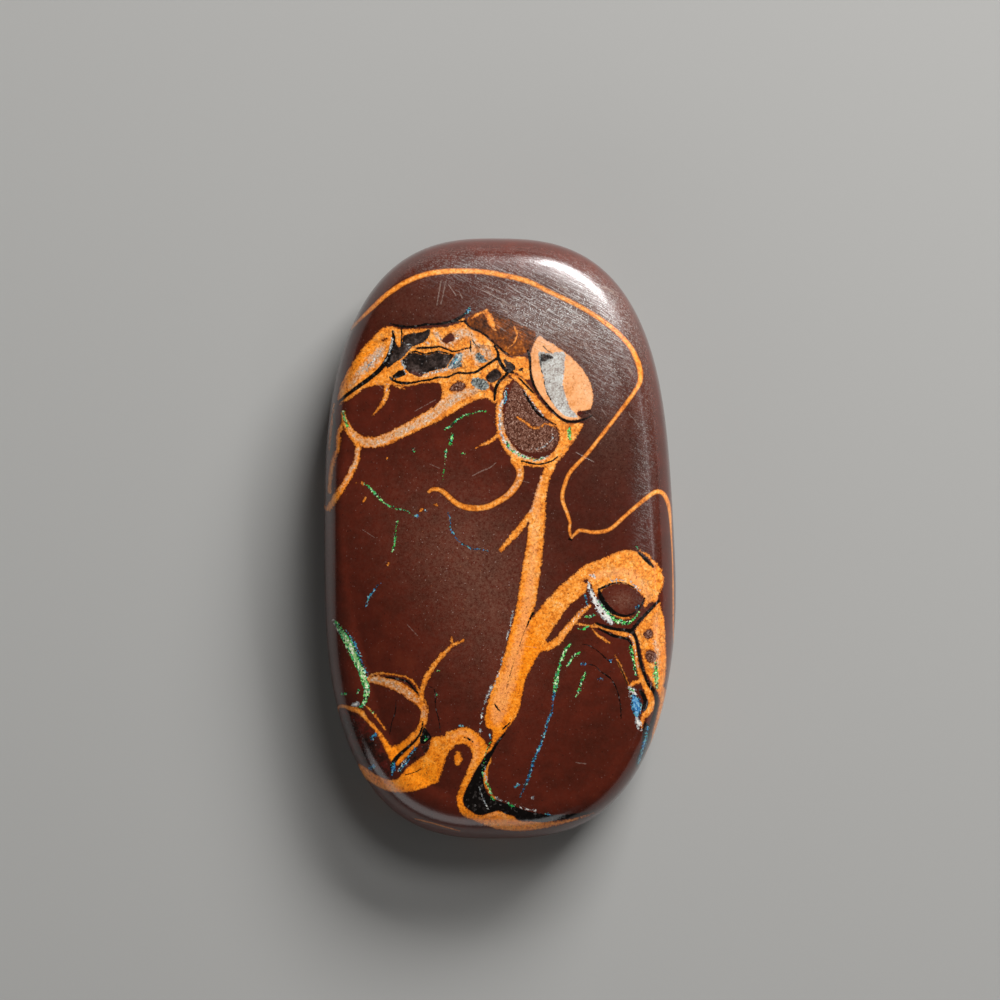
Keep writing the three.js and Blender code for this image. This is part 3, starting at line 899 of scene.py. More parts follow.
def reach(angle):
    """Distance from the middle to the outline at the belt."""
    across = np.abs(np.cos(angle) / (WIDTH / 2))
    along = np.abs(np.sin(angle) / (LENGTH / 2))
    oval = (across**SQUARENESS + along**SQUARENESS) ** (-1 / SQUARENESS)
    lopsided = 1
    for waves, cosine, sine in LOPSIDED:
        lopsided = lopsided + cosine * np.cos(waves * angle) + sine * np.sin(waves * angle)
    return oval * lopsided


def face_height(angle, shoulder, share):
    """Height of the polished face at a share of the way out to its shoulder."""
    x = share * shoulder * np.cos(angle)
    y = share * shoulder * np.sin(angle)
    swell = np.sin(x / SWELL_ACROSS + SWELL_START_ACROSS)
    swell = SWELL * swell * np.cos(y / SWELL_ALONG + SWELL_START_ALONG)
    return THICKNESS - DOME * share**2 - around(SHOULDER_FALL, angle) * share**4 + swell


def bevel(angle, turn):
    """Distance out and height on the rolled edge: a turn of 0 is the belt, a quarter turn the face."""
    belt = reach(angle)
    width = belt * around(EDGE_WIDTH, angle)
    power = 2 / around(EDGE_FULLNESS, angle)
    top = face_height(angle, belt - width, 1)
    out = belt - width * (1 - np.cos(turn) ** power)
    return out, BELT_HEIGHT + (top - BELT_HEIGHT) * np.sin(turn) ** power


def under(angle, turn):
    """Distance out and height under the belt: a turn of 0 is the flat back's edge."""
    return reach(angle) * (1 - BACK_ROUND * (1 - np.sin(turn))), BELT_HEIGHT * (1 - np.cos(turn))


def measure_fit():
    """How the bare form is moved and scaled so that it fills the frame's box exactly."""
    angle = np.linspace(0, 2 * np.pi, OUTLINE_SAMPLES, endpoint=False)
    x = reach(angle) * np.cos(angle)
    y = reach(angle) * np.sin(angle)
    share, angle = np.meshgrid(np.linspace(0, 1, FACE_SAMPLES), angle[::DIRECTION_STEP])
    top = face_height(angle, reach(angle) * (1 - around(EDGE_WIDTH, angle)), share).max()
    low, high = (MM_PER_METRE * np.array(corner) for corner in cad_box)
    middle = np.array([(x.max() + x.min()) / 2, (y.max() + y.min()) / 2, 0])
    size = np.array([x.max() - x.min(), y.max() - y.min(), top])
    return middle, (high - low) / size, np.array([(low[0] + high[0]) / 2, (low[1] + high[1]) / 2, low[2]])


FORM_MIDDLE, FORM_SCALE, STONE_MIDDLE = measure_fit()


def place(angle, out, height):
    """Points of the stone in millimetres from their direction, distance and height on the bare form."""
    bare = np.stack([out * np.cos(angle), out * np.sin(angle), height + 0 * angle], axis=-1)
    return (bare - FORM_MIDDLE) * FORM_SCALE + STONE_MIDDLE


def top_height(x, y):
    """Height of the stone's upper side over a point of its plan."""
    bare_x = (x - STONE_MIDDLE[0]) / FORM_SCALE[0] + FORM_MIDDLE[0]
    bare_y = (y - STONE_MIDDLE[1]) / FORM_SCALE[1] + FORM_MIDDLE[1]
    angle = np.arctan2(bare_y, bare_x)
    out = np.hypot(bare_x, bare_y)
    belt = reach(angle)
    width = belt * around(EDGE_WIDTH, angle)
    shoulder = belt - width
    face = face_height(angle, shoulder, np.minimum(out / shoulder, 1))
    inset = np.clip((belt - out) / width, 0, 1)
    power = 2 / around(EDGE_FULLNESS, angle)
    cosine = (1 - inset) ** (1 / power)
    sine = np.sqrt(np.clip(1 - cosine**2, 0, 1))
    rolled = BELT_HEIGHT + (face - BELT_HEIGHT) * sine**power
    return np.where(out <= shoulder, face, rolled) * FORM_SCALE[2] + STONE_MIDDLE[2]


def to_photo(points):
    """Where points in millimetres are seen in the photograph."""
    scale = PHOTO_SIZE * LENS / SENSOR / (CAMERA_HEIGHT - points[:, 2])
    across = PHOTO_SIZE / 2 + points[:, 0] * scale
    down = PHOTO_SIZE / 2 - (points[:, 1] - CAMERA_ALONG) * scale
    return np.stack([across, down], axis=-1)


def from_photo(pixels):
    """Points of the upper side, in millimetres, that are seen at places in the photograph."""
    height = np.full(len(pixels), float(THICKNESS))
    for _ in range(PLACING_ROUNDS):
        scale = PHOTO_SIZE * LENS / SENSOR / (CAMERA_HEIGHT - height)
        x = (pixels[:, 0] - PHOTO_SIZE / 2) / scale
        y = (PHOTO_SIZE / 2 - pixels[:, 1]) / scale + CAMERA_ALONG
        height = top_height(x, y)
    return np.stack([x, y, height], axis=-1)


def smooth(points, closed, step):
    """A smooth curve through placed points, cut into short steps."""
    knots = np.array(points, dtype=float)
    if closed:
        padded = np.concatenate([knots[-1:], knots, knots[:2]])
    else:
        padded = np.concatenate([2 * knots[:1] - knots[1:2], knots, 2 * knots[-1:] - knots[-2:-1]])
    pieces = []
    for before, low, high, after in zip(padded, padded[1:], padded[2:], padded[3:]):
        cuts = max(1, int(math.ceil(np.hypot(*(high - low)[:2]) / step)))
        pieces.append(between(before, low, high, after, (np.arange(cuts) / cuts)[:, None]))
    if not closed:
        pieces.append(knots[-1:])
    curve = np.concatenate(pieces)
    if knots.shape[1] == 3:
        curve[:, 2] = np.maximum(curve[:, 2], LEAST_WIDTH)
    return curve


def beside(curve, offset, closed):
    """The curve moved sideways."""
    flat = curve[:, :2]
    if closed:
        along = np.roll(flat, -1, axis=0) - np.roll(flat, 1, axis=0)
    else:
        along = np.gradient(flat, axis=0)
    along = along / np.maximum(np.hypot(along[:, 0], along[:, 1]), NEAR_ZERO)[:, None]
    normal = np.stack([-along[:, 1], along[:, 0]], axis=-1)
    return flat + normal * np.asarray(offset).reshape(-1, 1)


def closed_line(ring):
    """A ring of places as a line that comes back to its start and has no width."""
    return np.column_stack([np.concatenate([ring, ring[:1]]), np.zeros(len(ring) + 1)])


def edge_distance(places, curve):
    """Distance from each place to the edge of a line that has a width, negative inside it."""
    nearest = np.full(len(places), float(FIELD_REACH))
    for first in range(0, len(curve) - 1, RUN_LENGTH):
        run = curve[first:first + RUN_LENGTH + 1]
        room = FIELD_REACH + run[:, 2].max() / 2
        low = run[:, :2].min(axis=0) - room
        high = run[:, :2].max(axis=0) + room
        near = np.flatnonzero(((places > low) & (places < high)).all(axis=1))
        along = run[1:, :2] - run[:-1, :2]
        offset = places[near, None] - run[None, :-1, :2]
        share = np.clip((offset * along).sum(axis=2) / (along**2).sum(axis=1), 0, 1)
        gap = offset - share[..., None] * along
        half_width = (run[:-1, 2] + share * (run[1:, 2] - run[:-1, 2])) / 2
        distance = np.hypot(gap[..., 0], gap[..., 1]) - half_width
        nearest[near] = np.minimum(nearest[near], distance.min(axis=1))
    return nearest


def line_field(places, lines):
    """Distance to the nearest of some lines."""
    field = np.full(len(places), float(FIELD_REACH))
    for points in lines.values():
        field = np.minimum(field, edge_distance(places, smooth(points, False, CURVE_STEP)))
    return field


def area_field(places, areas):
    """Distance to the nearest of some areas, negative inside them."""
    field = np.full(len(places), float(FIELD_REACH))
    for points in areas.values():
        outline = smooth(points, True, CURVE_STEP)
        closed = closed_line(outline)
        distance = edge_distance(places, closed)
        low = outline.min(axis=0)
        high = outline.max(axis=0)
        near = np.flatnonzero(((places >= low) & (places <= high)).all(axis=1))
        x, y = places[near].T
        inside = np.zeros(len(near), dtype=bool)
        for (x0, y0, _), (x1, y1, _) in zip(closed, closed[1:]):
            if y0 != y1:
                crosses = (y0 > y) != (y1 > y)
                inside ^= crosses & (x < x0 + (y - y0) * (x1 - x0) / (y1 - y0))
        distance[near[inside]] *= -1
        field = np.minimum(field, distance)
    return field


def spot_field(places, spots):
    """Soft round spots added together, from 0 to 1."""
    total = np.zeros(len(places))
    for (x, y), (across, along), strength in spots:
        square = ((places[:, 0] - x) / across) ** 2 + ((places[:, 1] - y) / along) ** 2
        total += strength * np.exp(-square)
    return np.clip(total, 0, 1)


def fine_scratches():
    """Short straight scratches strewn over some patches of the face."""
    chance = np.random.default_rng(SCRATCH_SEED)
    lines = {}
    for (x, y), (across, along), angle, count in FINE_SCRATCHES:
        for _ in range(count):
            start_x = x + across * chance.uniform(-1, 1)
            start_y = y + along * chance.uniform(-1, 1)
            way = math.radians(angle + chance.normal(0, SCRATCH_TURN))
            length = chance.uniform(*SCRATCH_LENGTH)
            width = chance.uniform(*SCRATCH_WIDTH)
            end_x = start_x + length * math.cos(way)
            end_y = start_y + length * math.sin(way)
            lines[f"scratch {len(lines)}"] = [(start_x, start_y, width), (end_x, end_y, SCRATCH_END_WIDTH)]
    return lines


SCRATCHES = {**SCRATCH_LINES, **fine_scratches()}
LINE_GROUPS = [
    ORANGE_LINES, INNER_LINES, PALE_LINES, PEACH_LINES, DARK_LINES, GREEN_LINES, BLUE_LINES, WHITE_LINES,
    SCRATCHES,
]
AREA_GROUPS = [
    ORANGE_AREAS, ISLANDS, PEACH_AREAS, AMBER_AREAS, TAN_AREAS, SMOKY_AREAS, GREY_AREAS, DARK_AREAS,
]


def pattern_points():
    """Places along every edge of the pattern, and places beside the edges."""
    edges = []
    flanks = []
    for areas in AREA_GROUPS:
        for points in areas.values():
            outline = smooth(points, True, EDGE_SPACING)
            edges.append(outline)
            flanks.append(beside(outline, EDGE_SPACING, True))
            flanks.append(beside(outline, -EDGE_SPACING, True))
    for lines in LINE_GROUPS:
        for points in lines.values():
            curve = smooth(points, False, EDGE_SPACING)
            half = curve[:, 2] / 2
            edges.append(curve[:, :2])
            for side in (-1, 1):
                edges.append(beside(curve, side * half, False))
                flanks.append(beside(curve, side * (half + EDGE_SPACING), False))
                flanks.append(beside(curve, side * np.maximum(half - EDGE_SPACING, 0), False))
    return np.concatenate(edges), np.concatenate(flanks)


def thin_out(batches):
    """Keeps the places that stand clear of the ones before them. A batch is places and a clearance."""
    kept = []
    cells = {}
    size = max(clearance for _, clearance in batches)

    def neighbours(column, row):
        for near_column in (column - 1, column, column + 1):
            for near_row in (row - 1, row, row + 1):
                yield from cells.get((near_column, near_row), ())

    for places, clearance in batches:
        limit = clearance * clearance
        for x, y in places.tolist():
            cell = (int(x // size), int(y // size))
            if any((x - other_x) ** 2 + (y - other_y) ** 2 < limit for other_x, other_y in neighbours(*cell)):
                continue
            cells.setdefault(cell, []).append((x, y))
            kept.append((x, y))
    return np.array(kept)


def inside_ring(places, ring, gap):
    """The places inside a ring of points, at least a gap away from it."""
    middle = ring.mean(axis=0)
    ring_angle = np.arctan2(*(ring - middle).T[::-1])
    order = np.argsort(ring_angle)
    ring_out = np.hypot(*(ring - middle).T)[order]
    offset = places - middle
    angle = np.arctan2(offset[:, 1], offset[:, 0])
    edge = np.interp(angle, ring_angle[order], ring_out, period=2 * np.pi)
    far_inside = np.hypot(*offset.T) < edge
    return places[far_inside & (edge_distance(places, closed_line(ring)) > gap)]


def fill_points(ring, spacing):
    """A honeycomb of places inside a ring."""
    low = ring.min(axis=0)
    high = ring.max(axis=0)
    row_height = spacing * math.sqrt(3) / 2
    rows = []
    for number, y in enumerate(np.arange(low[1], high[1], row_height)):
        x = np.arange(low[0] + (number % 2) * spacing / 2, high[0], spacing)
        rows.append(np.column_stack([x, np.full(len(x), y)]))
    return inside_ring(np.concatenate(rows), ring, spacing / 2)


def triangulate(ring, inner):
    """Triangles over a ring of places and the places inside it."""
    places = [Vector(place) for place in np.concatenate([ring, inner]).tolist()]
    count = len(ring)
    edges = [(number, (number + 1) % count) for number in range(count)]
    result = delaunay_2d_cdt(places, edges, [], 1, CUTTING_EXACTNESS, False)
    x, y = ring.T
    way_round = np.sign(np.sum(x * np.roll(y, -1) - np.roll(x, -1) * y))

    def outside(face):
        """A sliver in a hollow of the ring has its corners the other way round."""
        second, third = ((corner - face[0]) % count for corner in face[1:])
        return max(face) < count and (second - third) * way_round > 0

    triangles = [tuple(face) for face in result[2] if not outside(face)]
    return np.array([tuple(vertex) for vertex in result[0]]), triangles


def face_mesh(ring):
    """The face's points and triangles, dense along the edges of the pattern."""
    ring = to_photo(ring)
    edges, flanks = (inside_ring(places, ring, EDGE_CLEARANCE) for places in pattern_points())
    fill = fill_points(ring, FILL_SPACING)
    inner = thin_out([(edges, EDGE_CLEARANCE), (flanks, EDGE_CLEARANCE), (fill, FILL_SPACING / 2)])
    places, triangles = triangulate(ring, inner)
    return from_photo(places), [(a, c, b) for a, b, c in triangles]


def back_mesh(ring):
    """The flat back's points and triangles."""
    ring = ring[:, :2] * BACK_SCALE
    places, triangles = triangulate(ring, fill_points(ring, BACK_SPACING))
    height = np.full(len(places), STONE_MIDDLE[2])
    return np.column_stack([places / BACK_SCALE, height]), [(c, b, a) for a, b, c in triangles]


def girdle_rows():
    """Rows of points from the face's edge over the belt to the back's edge, evenly spread on the belt."""
    angle = np.linspace(0, 2 * np.pi, 2 * OUTLINE_SAMPLES + 1)
    points = place(angle, reach(angle), BELT_HEIGHT)
    run = np.concatenate([[0], np.cumsum(np.hypot(*np.diff(points[:, :2], axis=0).T))])
    angle = np.interp(np.arange(GIRDLE_STEPS) / GIRDLE_STEPS * run[-1], run, angle)
    upper = [bevel(angle, turn) for turn in np.linspace(FACE_TURN, 0, BEVEL_ROWS, endpoint=False)]
    lower = [under(angle, turn) for turn in np.linspace(math.pi / 2, 0, UNDER_ROWS + 1)]
    return [place(angle, out, height) for out, height in upper + lower]


def stone_mesh():
    """The stone's points in millimetres and its faces."""
    rows = girdle_rows()
    face_points, faces = face_mesh(rows[0])
    back_points, back_faces = back_mesh(rows[-1])
    start = len(face_points)
    for _ in rows[1:]:
        below = start + GIRDLE_STEPS
        for step in range(GIRDLE_STEPS):
            following = (step + 1) % GIRDLE_STEPS
            faces.append((start + step, below + step, below + following, start + following))
        start = below
    start += GIRDLE_STEPS
    faces.extend(tuple(start + corner for corner in face) for face in back_faces)
    return np.concatenate([face_points, *rows, back_points]), faces


def pattern_places(points):
    """Where the pattern is read for each point. Down the sides the veins slant and wander."""
    places = to_photo(points)
    x, y = places.T
    depth = np.maximum(SIDE_TOP - points[:, 2], 0)
    shift = np.outer(depth**2, SIDE_SLANT)
    for amount, (across, along), start in SIDE_WAVES:
        shift += np.outer(depth * np.sin(x / across + y / along + start), amount)
    return places + shift


def build_fields(points):
    """The pattern's distances and soft spots at each point."""
    places = pattern_places(points)
    height = points[:, 2]
    orange = np.minimum(line_field(places, ORANGE_LINES), area_field(places, ORANGE_AREAS))
    vein = np.maximum(orange, -area_field(places, {**ISLANDS, **TAN_AREAS}))
    spots = {name: spot_field(places, spots) for name, spots in SPOTS.items()}
    spots["worn_and_sheen"] *= np.clip((height - WORN_AND_SHEEN_FROM) / FADE, 0, 1)
    return {
        **spots,
        "vein": np.minimum(vein, line_field(places, INNER_LINES)),
        "clean": line_field(places, {name: ORANGE_LINES[name] for name in CLEAN_LINES}),
        "pale": line_field(places, PALE_LINES),
        "soft": line_field(places, PEACH_LINES),
        "peach": area_field(places, PEACH_AREAS),
        "amber": area_field(places, AMBER_AREAS),
        "tan": area_field(places, TAN_AREAS),
        "smoky": area_field(places, SMOKY_AREAS),
        "grey": area_field(places, GREY_AREAS),
        "dark": np.minimum(line_field(places, DARK_LINES), area_field(places, DARK_AREAS)),
        "green": line_field(places, GREEN_LINES),
        "blue": line_field(places, BLUE_LINES),
        "white": line_field(places, WHITE_LINES),
        "scratch": np.where(height > SCRATCHED_FROM, line_field(places, SCRATCHES), FIELD_REACH),
        "ground": np.clip((GROUND_UP_TO - height) / GROUND_UP_TO, 0, 1),
        "calm": np.clip((height - FRAYED_FROM) / FADE, LEAST_FRAYED, 1),
    }


def linear(colour):
    """A colour's linear values. It is given by them or by its code on a screen."""
    if not isinstance(colour, str):
        return colour
    channels = [int(colour[start:start + 2], 16) / 255 for start in (0, 2, 4)]
    return tuple(c / 12.92 if c <= 0.04045 else ((c + 0.055) / 1.055) ** 2.4 for c in channels)


class Nodes:
    """Short ways to add shader nodes."""

    def __init__(self, tree):
        self.tree = tree

    def put(self, socket, value):
        if isinstance(value, bpy.types.NodeSocket):
            self.tree.links.new(value, socket)
        elif socket.type == "RGBA":
            socket.default_value = (*linear(value), 1)
        else:
            socket.default_value = value

    def add(self, kind, inputs=None, **settings):
        node = self.tree.nodes.new(kind)
        for name, value in settings.items():
            setattr(node, name, value)
        for key, value in (inputs or {}).items():
            self.put(node.inputs[key], value)
        return node

    def math(self, operation, *values):
        return self.add("ShaderNodeMath", dict(enumerate(values)), operation=operation).outputs[0]

    def times(self, first, second):
        return self.math("MULTIPLY", first, second)

    def total(self, *parts, base=0.0):
        """A sum of values that each have a weight."""
        for value, weight in parts:
            base = self.math("MULTIPLY_ADD", value, weight, base)
        return base

    def mix(self, share, first, second, blend="MIX"):
        inputs = {"Factor": share, 6: first, 7: second}
        return self.add("ShaderNodeMix", inputs, data_type="RGBA", blend_type=blend).outputs[2]

    def band(self, value, start, end, low=0.0, high=1.0):
        """Goes smoothly from low to high while the value goes from start to end."""
        inputs = dict(enumerate((value, start, end, low, high)))
        return self.add("ShaderNodeMapRange", inputs, interpolation_type="SMOOTHSTEP").outputs[0]

    def ramp(self, value, *stops):
        node = self.add("ShaderNodeValToRGB", {0: value})
        elements = node.color_ramp.elements
        while len(elements) < len(stops):
            elements.new(0.5)
        for element, (position, colour) in zip(elements, stops):
            element.position = position
            element.color = (*linear(colour), 1)
        return node.outputs[0]

    def field(self, name):
        return self.add("ShaderNodeAttribute", attribute_name=name).outputs["Fac"]

    def noise(self, where, per_mm, detail, roughness=0.5):
        inputs = {"Vector": where, "Scale": per_mm * MM_PER_METRE, "Detail": detail, "Roughness": roughness}
        return self.add("ShaderNodeTexNoise", inputs).outputs["Fac"]

    def cells(self, where, per_mm):
        """Distance to the middle of each cell, and two chance values of the cell."""
        node = self.add("ShaderNodeTexVoronoi", {"Vector": where, "Scale": per_mm * MM_PER_METRE})
        split = self.add("ShaderNodeSeparateColor", {0: node.outputs["Color"]})
        return node.outputs["Distance"], split.outputs[0], split.outputs[1]

    def dots(self, cells, outer, inner, rare, full):
        """Round dots in the cells whose chance value is high."""
        distance, chance, _ = cells
        return self.times(self.band(distance, outer, inner), self.band(chance, rare, full))

    def turned(self, where, angle, stretch):
        """Coordinates whose patterns come out drawn out along one direction of the face."""
        inputs = {"Vector": where, "Rotation": (0, 0, angle), "Scale": (stretch, 1, 1)}
        return self.add("ShaderNodeMapping", inputs, vector_type="TEXTURE").outputs[0]

    def crackle(self, where, per_mm, wander):
        """Distance to a net of fine cracks, whose lines wander by a distance in metres."""
        scale = per_mm * MM_PER_METRE
        shift = self.add("ShaderNodeTexNoise", {"Vector": where, "Scale": 1.7 * scale, "Detail": 3})
        inputs = {0: shift.outputs["Color"], 1: (wander, wander, wander), 2: where}
        moved = self.add("ShaderNodeVectorMath", inputs, operation="MULTIPLY_ADD")
        inputs = {"Vector": moved.outputs[0], "Scale": scale}
        return self.add("ShaderNodeTexVoronoi", inputs, feature="DISTANCE_TO_EDGE").outputs["Distance"]


class StoneNodes(Nodes):
    """The patterns that the stone's layers share, and the layers."""

    def __init__(self, tree):
        super().__init__(tree)
        where = self.add("ShaderNodeTexCoord").outputs["Object"]
        self.broad = self.noise(where, 0.22, 3)
        self.middling = self.noise(where, 1.1, 4, 0.6)
        self.fine = self.noise(where, 5, 3, 0.6)
        self.grain = self.noise(where, 13, 2, 0.7)
        self.brushed = self.noise(self.turned(where, BRUSH_ANGLE, 9), 10, 1)
        self.net = self.crackle(where, 1.3, 0.0006)
        self.fine_net = self.crackle(where, 2.6, 0.0003)
        self.specks = self.cells(where, 5.5)
        self.motes = self.cells(where, 9.5)
        self.crystals = self.cells(where, 6.5)
        self.tone = self.motes[2]
        self.speckle = self.dots(self.specks, 0.38, 0.16, 0.86, 0.92)
        self.sugar = self.ramp(
            self.tone,
            (0.0, (0.5, 0.42, 0.36)), (0.2, (0.86, 0.84, 0.82)), (0.75, (1, 1, 1)), (1.0, (1.15, 1.15, 1.15)),
        )

        calm = self.field("calm")
        ragged = self.math("SUBTRACT", self.noise(where, 3.2, 3, 0.65), 0.5)
        finely_ragged = self.math("SUBTRACT", self.noise(where, 9, 1), 0.5)
        wander = self.times(ragged, calm)
        small_wander = self.times(finely_ragged, calm)
        self.edge = {}
        for name, (broadly, finely, _, _) in EDGES.items():
            self.edge[name] = self.total((wander, broadly), (small_wander, finely), base=self.field(name))
        bare = self.field("vein")
        clean = self.band(self.field("clean"), 0.5, 3, 0.25, 1)
        frayed = self.math("SUBTRACT", self.edge["vein"], bare)
        self.edge["vein"] = self.total((frayed, clean), base=bare)
        self.mask = {name: self.band(self.edge[name], *limits) for name, (_, _, *limits) in EDGES.items()}
        scratch = self.total((finely_ragged, 1.6), base=self.field("scratch"))
        self.mask["scratch"] = self.band(scratch, 0.5, -0.3)

    def ironstone(self):
        """Reddish brown with dust, motes and pits, and areas of tan and amber stone."""
        tone = self.total((self.broad, 0.5), (self.middling, 0.5))
        colour = self.ramp(tone, (0.34, "3c1308"), (0.46, "47160a"), (0.56, "50190c"), (0.7, "5a2010"))
        # painted shade, partly the stone's own darker brown: the ironstone is darker in the shady spots
        colour = self.mix(self.times(self.field("shady"), 0.55), colour, "28120c")
        dusty = self.field("dusty")
        dust = self.band(self.total((self.fine, 0.5), (self.grain, 0.5)), 0.3, 0.75)
        dust = self.times(dust, self.total((dusty, 0.85), base=0.06))
        colour = self.mix(dust, colour, "7a5848")
        mote = self.dots(self.motes, 0.42, 0.2, 0.94, 0.97)
        mote = self.times(mote, self.total((dusty, 0.5), base=0.15))
        mote_colour = self.ramp(self.tone, (0.0, "b06a3c"), (0.35, "a8887a"), (1.0, "c8b0a8"))
        colour = self.mix(mote, colour, mote_colour)
        pit = self.dots(self.specks, 0.4, 0.15, 0.94, 0.97)
        colour = self.mix(self.times(pit, 0.5), colour, "240e08")
        tone = self.total((self.tone, 0.2), (self.grain, 0.7))
        tan = self.ramp(tone, (0.3, "34180f"), (0.43, "563022"), (0.54, "805848"), (0.7, "c0a494"))
        colour = self.mix(self.mask["tan"], colour, tan)
        tone = self.total((self.middling, 0.55), (self.fine, 0.45))
        amber = self.ramp(tone, (0.36, "2c140a"), (0.46, "542a10"), (0.56, "7c3e12"), (0.66, "bc6818"))
        colour = self.mix(self.mask["amber"], colour, amber)
        return self.mix(self.band(self.edge["vein"], 1.8, 0, 0, 0.55), colour, "431a0a")

    def limonite(self):
        """Orange: mottled, sugary, crossed by fine cracks and darker at its rims."""
        mottle = self.total((self.middling, 0.45), (self.fine, 0.55))
        colour = self.ramp(mottle, (0.38, "b8641a"), (0.46, "e68628"), (0.54, "f59e3e"), (0.66, "fabc78"))
        deep = self.ramp(mottle, (0.36, "d06806"), (0.47, "f88604"), (0.6, "ff9610"), (0.72, "ffac3c"))
        colour = self.mix(self.times(self.field("deep"), 0.9), colour, deep)
        colour = self.mix(self.times(self.mask["soft"], 0.45), colour, "f2ac70")
        tone = self.total((self.fine, 0.6), (self.tone, 0.16), (self.middling, 0.25))
        core = self.ramp(
            tone, (0.36, "c47c40"), (0.45, "dc9c62"), (0.52, "d4ac88"), (0.59, "b4a494"), (0.68, "dccfc0")
        )
        colour = self.mix(self.times(self.mask["pale"], 0.85), colour, core)
        colour = self.mix(0.8, colour, self.sugar, "MULTIPLY")
        granular = self.ramp(
            self.grain, (0.38, (0.84, 0.8, 0.76)), (0.48, (1.04, 1.04, 1.04)), (0.62, (1.14, 1.14, 1.14))
        )
        colour = self.mix(0.8, colour, granular, "MULTIPLY")
        colour = self.mix(self.times(self.speckle, 0.6), colour, "6e3412")
        cracked = self.times(self.band(self.net, 0.075, 0.02), self.band(self.middling, 0.42, 0.52))
        finely = self.times(self.band(self.fine_net, 0.09, 0.02), self.band(self.broad, 0.62, 0.42))
        cracks = self.math("MAXIMUM", cracked, self.times(finely, 0.7))
        cracks = self.times(cracks, self.total((self.field("busy"), 0.5), base=0.12))
        colour = self.mix(cracks, colour, "5c2a10")
        rim = self.band(self.edge["vein"], -1.9, 0.2)
        return self.mix(self.times(rim, 0.75), colour, "86400f")

    def peach_stone(self):
        tone = self.total((self.middling, 0.55), (self.fine, 0.45))
        colour = self.ramp(tone, (0.36, "cc8448"), (0.46, "e49e66"), (0.6, "e9aa76"), (0.7, "e4b890"))
        colour = self.mix(0.5, colour, self.sugar, "MULTIPLY")
        colour = self.mix(self.times(self.speckle, 0.7), colour, "b06020")
        rim = self.band(self.edge["peach"], -1.6, 0.3)
        return self.mix(self.times(rim, 0.5), colour, "b86c30")

    def grey_opal(self):
        """Milky grey, and glassier grey where much goes on in the pattern."""
        tone = self.total((self.grain, 0.34), (self.tone, 0.18), (self.middling, 0.48))
        milky = self.ramp(
            tone, (0.34, "6a5c58"), (0.42, "948a84"), (0.5, "aca69e"), (0.58, "bcbab4"), (0.68, "d4d6d2")
        )
        tone = self.total((self.fine, 0.7), (self.tone, 0.3))
        glassy = self.ramp(
            tone, (0.28, "262625"), (0.42, "4e504e"), (0.54, "6e7270"), (0.66, "929890"), (0.8, "ccd0c8")
        )
        return self.mix(self.band(self.field("busy"), 0.5, 0.8), milky, glassy)

    def smoky_opal(self):
        """Reddish smoke, black glass where much goes on in the pattern, and paler crystals."""
        tone = self.total((self.middling, 0.65), (self.fine, 0.35))
        smoke = self.ramp(
            tone, (0.36, "160b08"), (0.45, "321710"), (0.53, "461c14"), (0.6, "5c1c14"), (0.7, "4a3430")
        )
        glass = self.ramp(
            tone, (0.38, "0d0807"), (0.46, "1e1613"), (0.53, "322723"), (0.6, "4a3e3a"), (0.68, "726a67")
        )
        colour = self.mix(self.band(self.field("busy"), 0.3, 0.55), smoke, glass)
        crystal = self.dots(self.crystals, 0.5, 0.1, 0.8, 0.95)
        return self.mix(self.times(crystal, 0.4), colour, "8a8684")

    def black_seam(self):
        chance = self.crystals[1]
        return self.ramp(chance, (0.0, "070403"), (0.8, "0e0908"), (0.92, "241e1c"), (1.0, "4a4644"))

    def opal(self, name):
        """Opal of one kind along its lines, with colours of its own where it is broad."""
        broad_from, broad_full, thin, broad = OPALS[name]
        share = self.band(self.field(name), broad_from, broad_full)
        return self.mix(share, self.ramp(self.tone, *thin), self.ramp(self.tone, *broad))

    def white_share(self):
        """White opal shows only here and there along its lines, and more where it is broad."""
        gap = self.band(self.field("white"), -0.6, -2.4, 0.36, 0.05)
        shown = self.times(self.math("GREATER_THAN", self.crystals[2], gap), 0.88)
        return self.times(self.mask["white"], shown)

    def wear_and_sheen(self):
        """Glints, streaks and haze of painted sheen round the highlight, partly real wear; fewer on the
        orange and the amber.
        """
        glint = self.times(self.band(self.grain, 0.52, 0.6), self.band(self.tone, 0.4, 0.6))
        streak = self.times(self.band(self.brushed, 0.53, 0.62), 0.4)
        share = self.math("MAXIMUM", self.math("MAXIMUM", streak, glint), 0.08)
        share = self.times(share, self.total((self.mask["vein"], -0.85), base=1.0))
        share = self.times(share, self.band(self.edge["amber"], -0.5, 0.5, 0.15, 1))
        return self.times(share, self.field("worn_and_sheen"))

    def colour(self):
        """The layers in their order, from the ironstone to the scratches and the ground back."""
        colour = self.ironstone()
        for share, layer in (
            (self.mask["vein"], self.limonite()),
            (self.mask["peach"], self.peach_stone()),
            (self.mask["grey"], self.grey_opal()),
            (self.mask["smoky"], self.smoky_opal()),
            (self.mask["dark"], self.black_seam()),
            (self.white_share(), self.opal("white")),
            (self.times(self.mask["green"], 0.9), self.opal("green")),
            (self.times(self.mask["blue"], 0.9), self.opal("blue")),
            # painted sheen: light grey glints, streaks and haze round the highlight
            (self.wear_and_sheen(), "c4c2be"),
            # the scratches are lighter: partly their own whitish look, partly a painted highlight where they
            # catch the light
            (self.times(self.mask["scratch"], 0.3), "a89488"),
            (self.times(self.field("ground"), 0.35), "6a5a52"),
        ):
            colour = self.mix(share, colour, layer)
        return colour

    def roughness(self):
        """The opal is glassy, the limonite is duller, and the back is only ground."""
        return self.total(
            (self.fine, 0.1), (self.field("worn_and_sheen"), self.total((self.brushed, 0.3), base=0.05)),
            (self.mask["vein"], 0.1), (self.mask["grey"], -0.08), (self.mask["green"], -0.1),
            (self.mask["dark"], -0.12), (self.mask["smoky"], -0.08), (self.field("ground"), 0.3), base=0.14,
        )

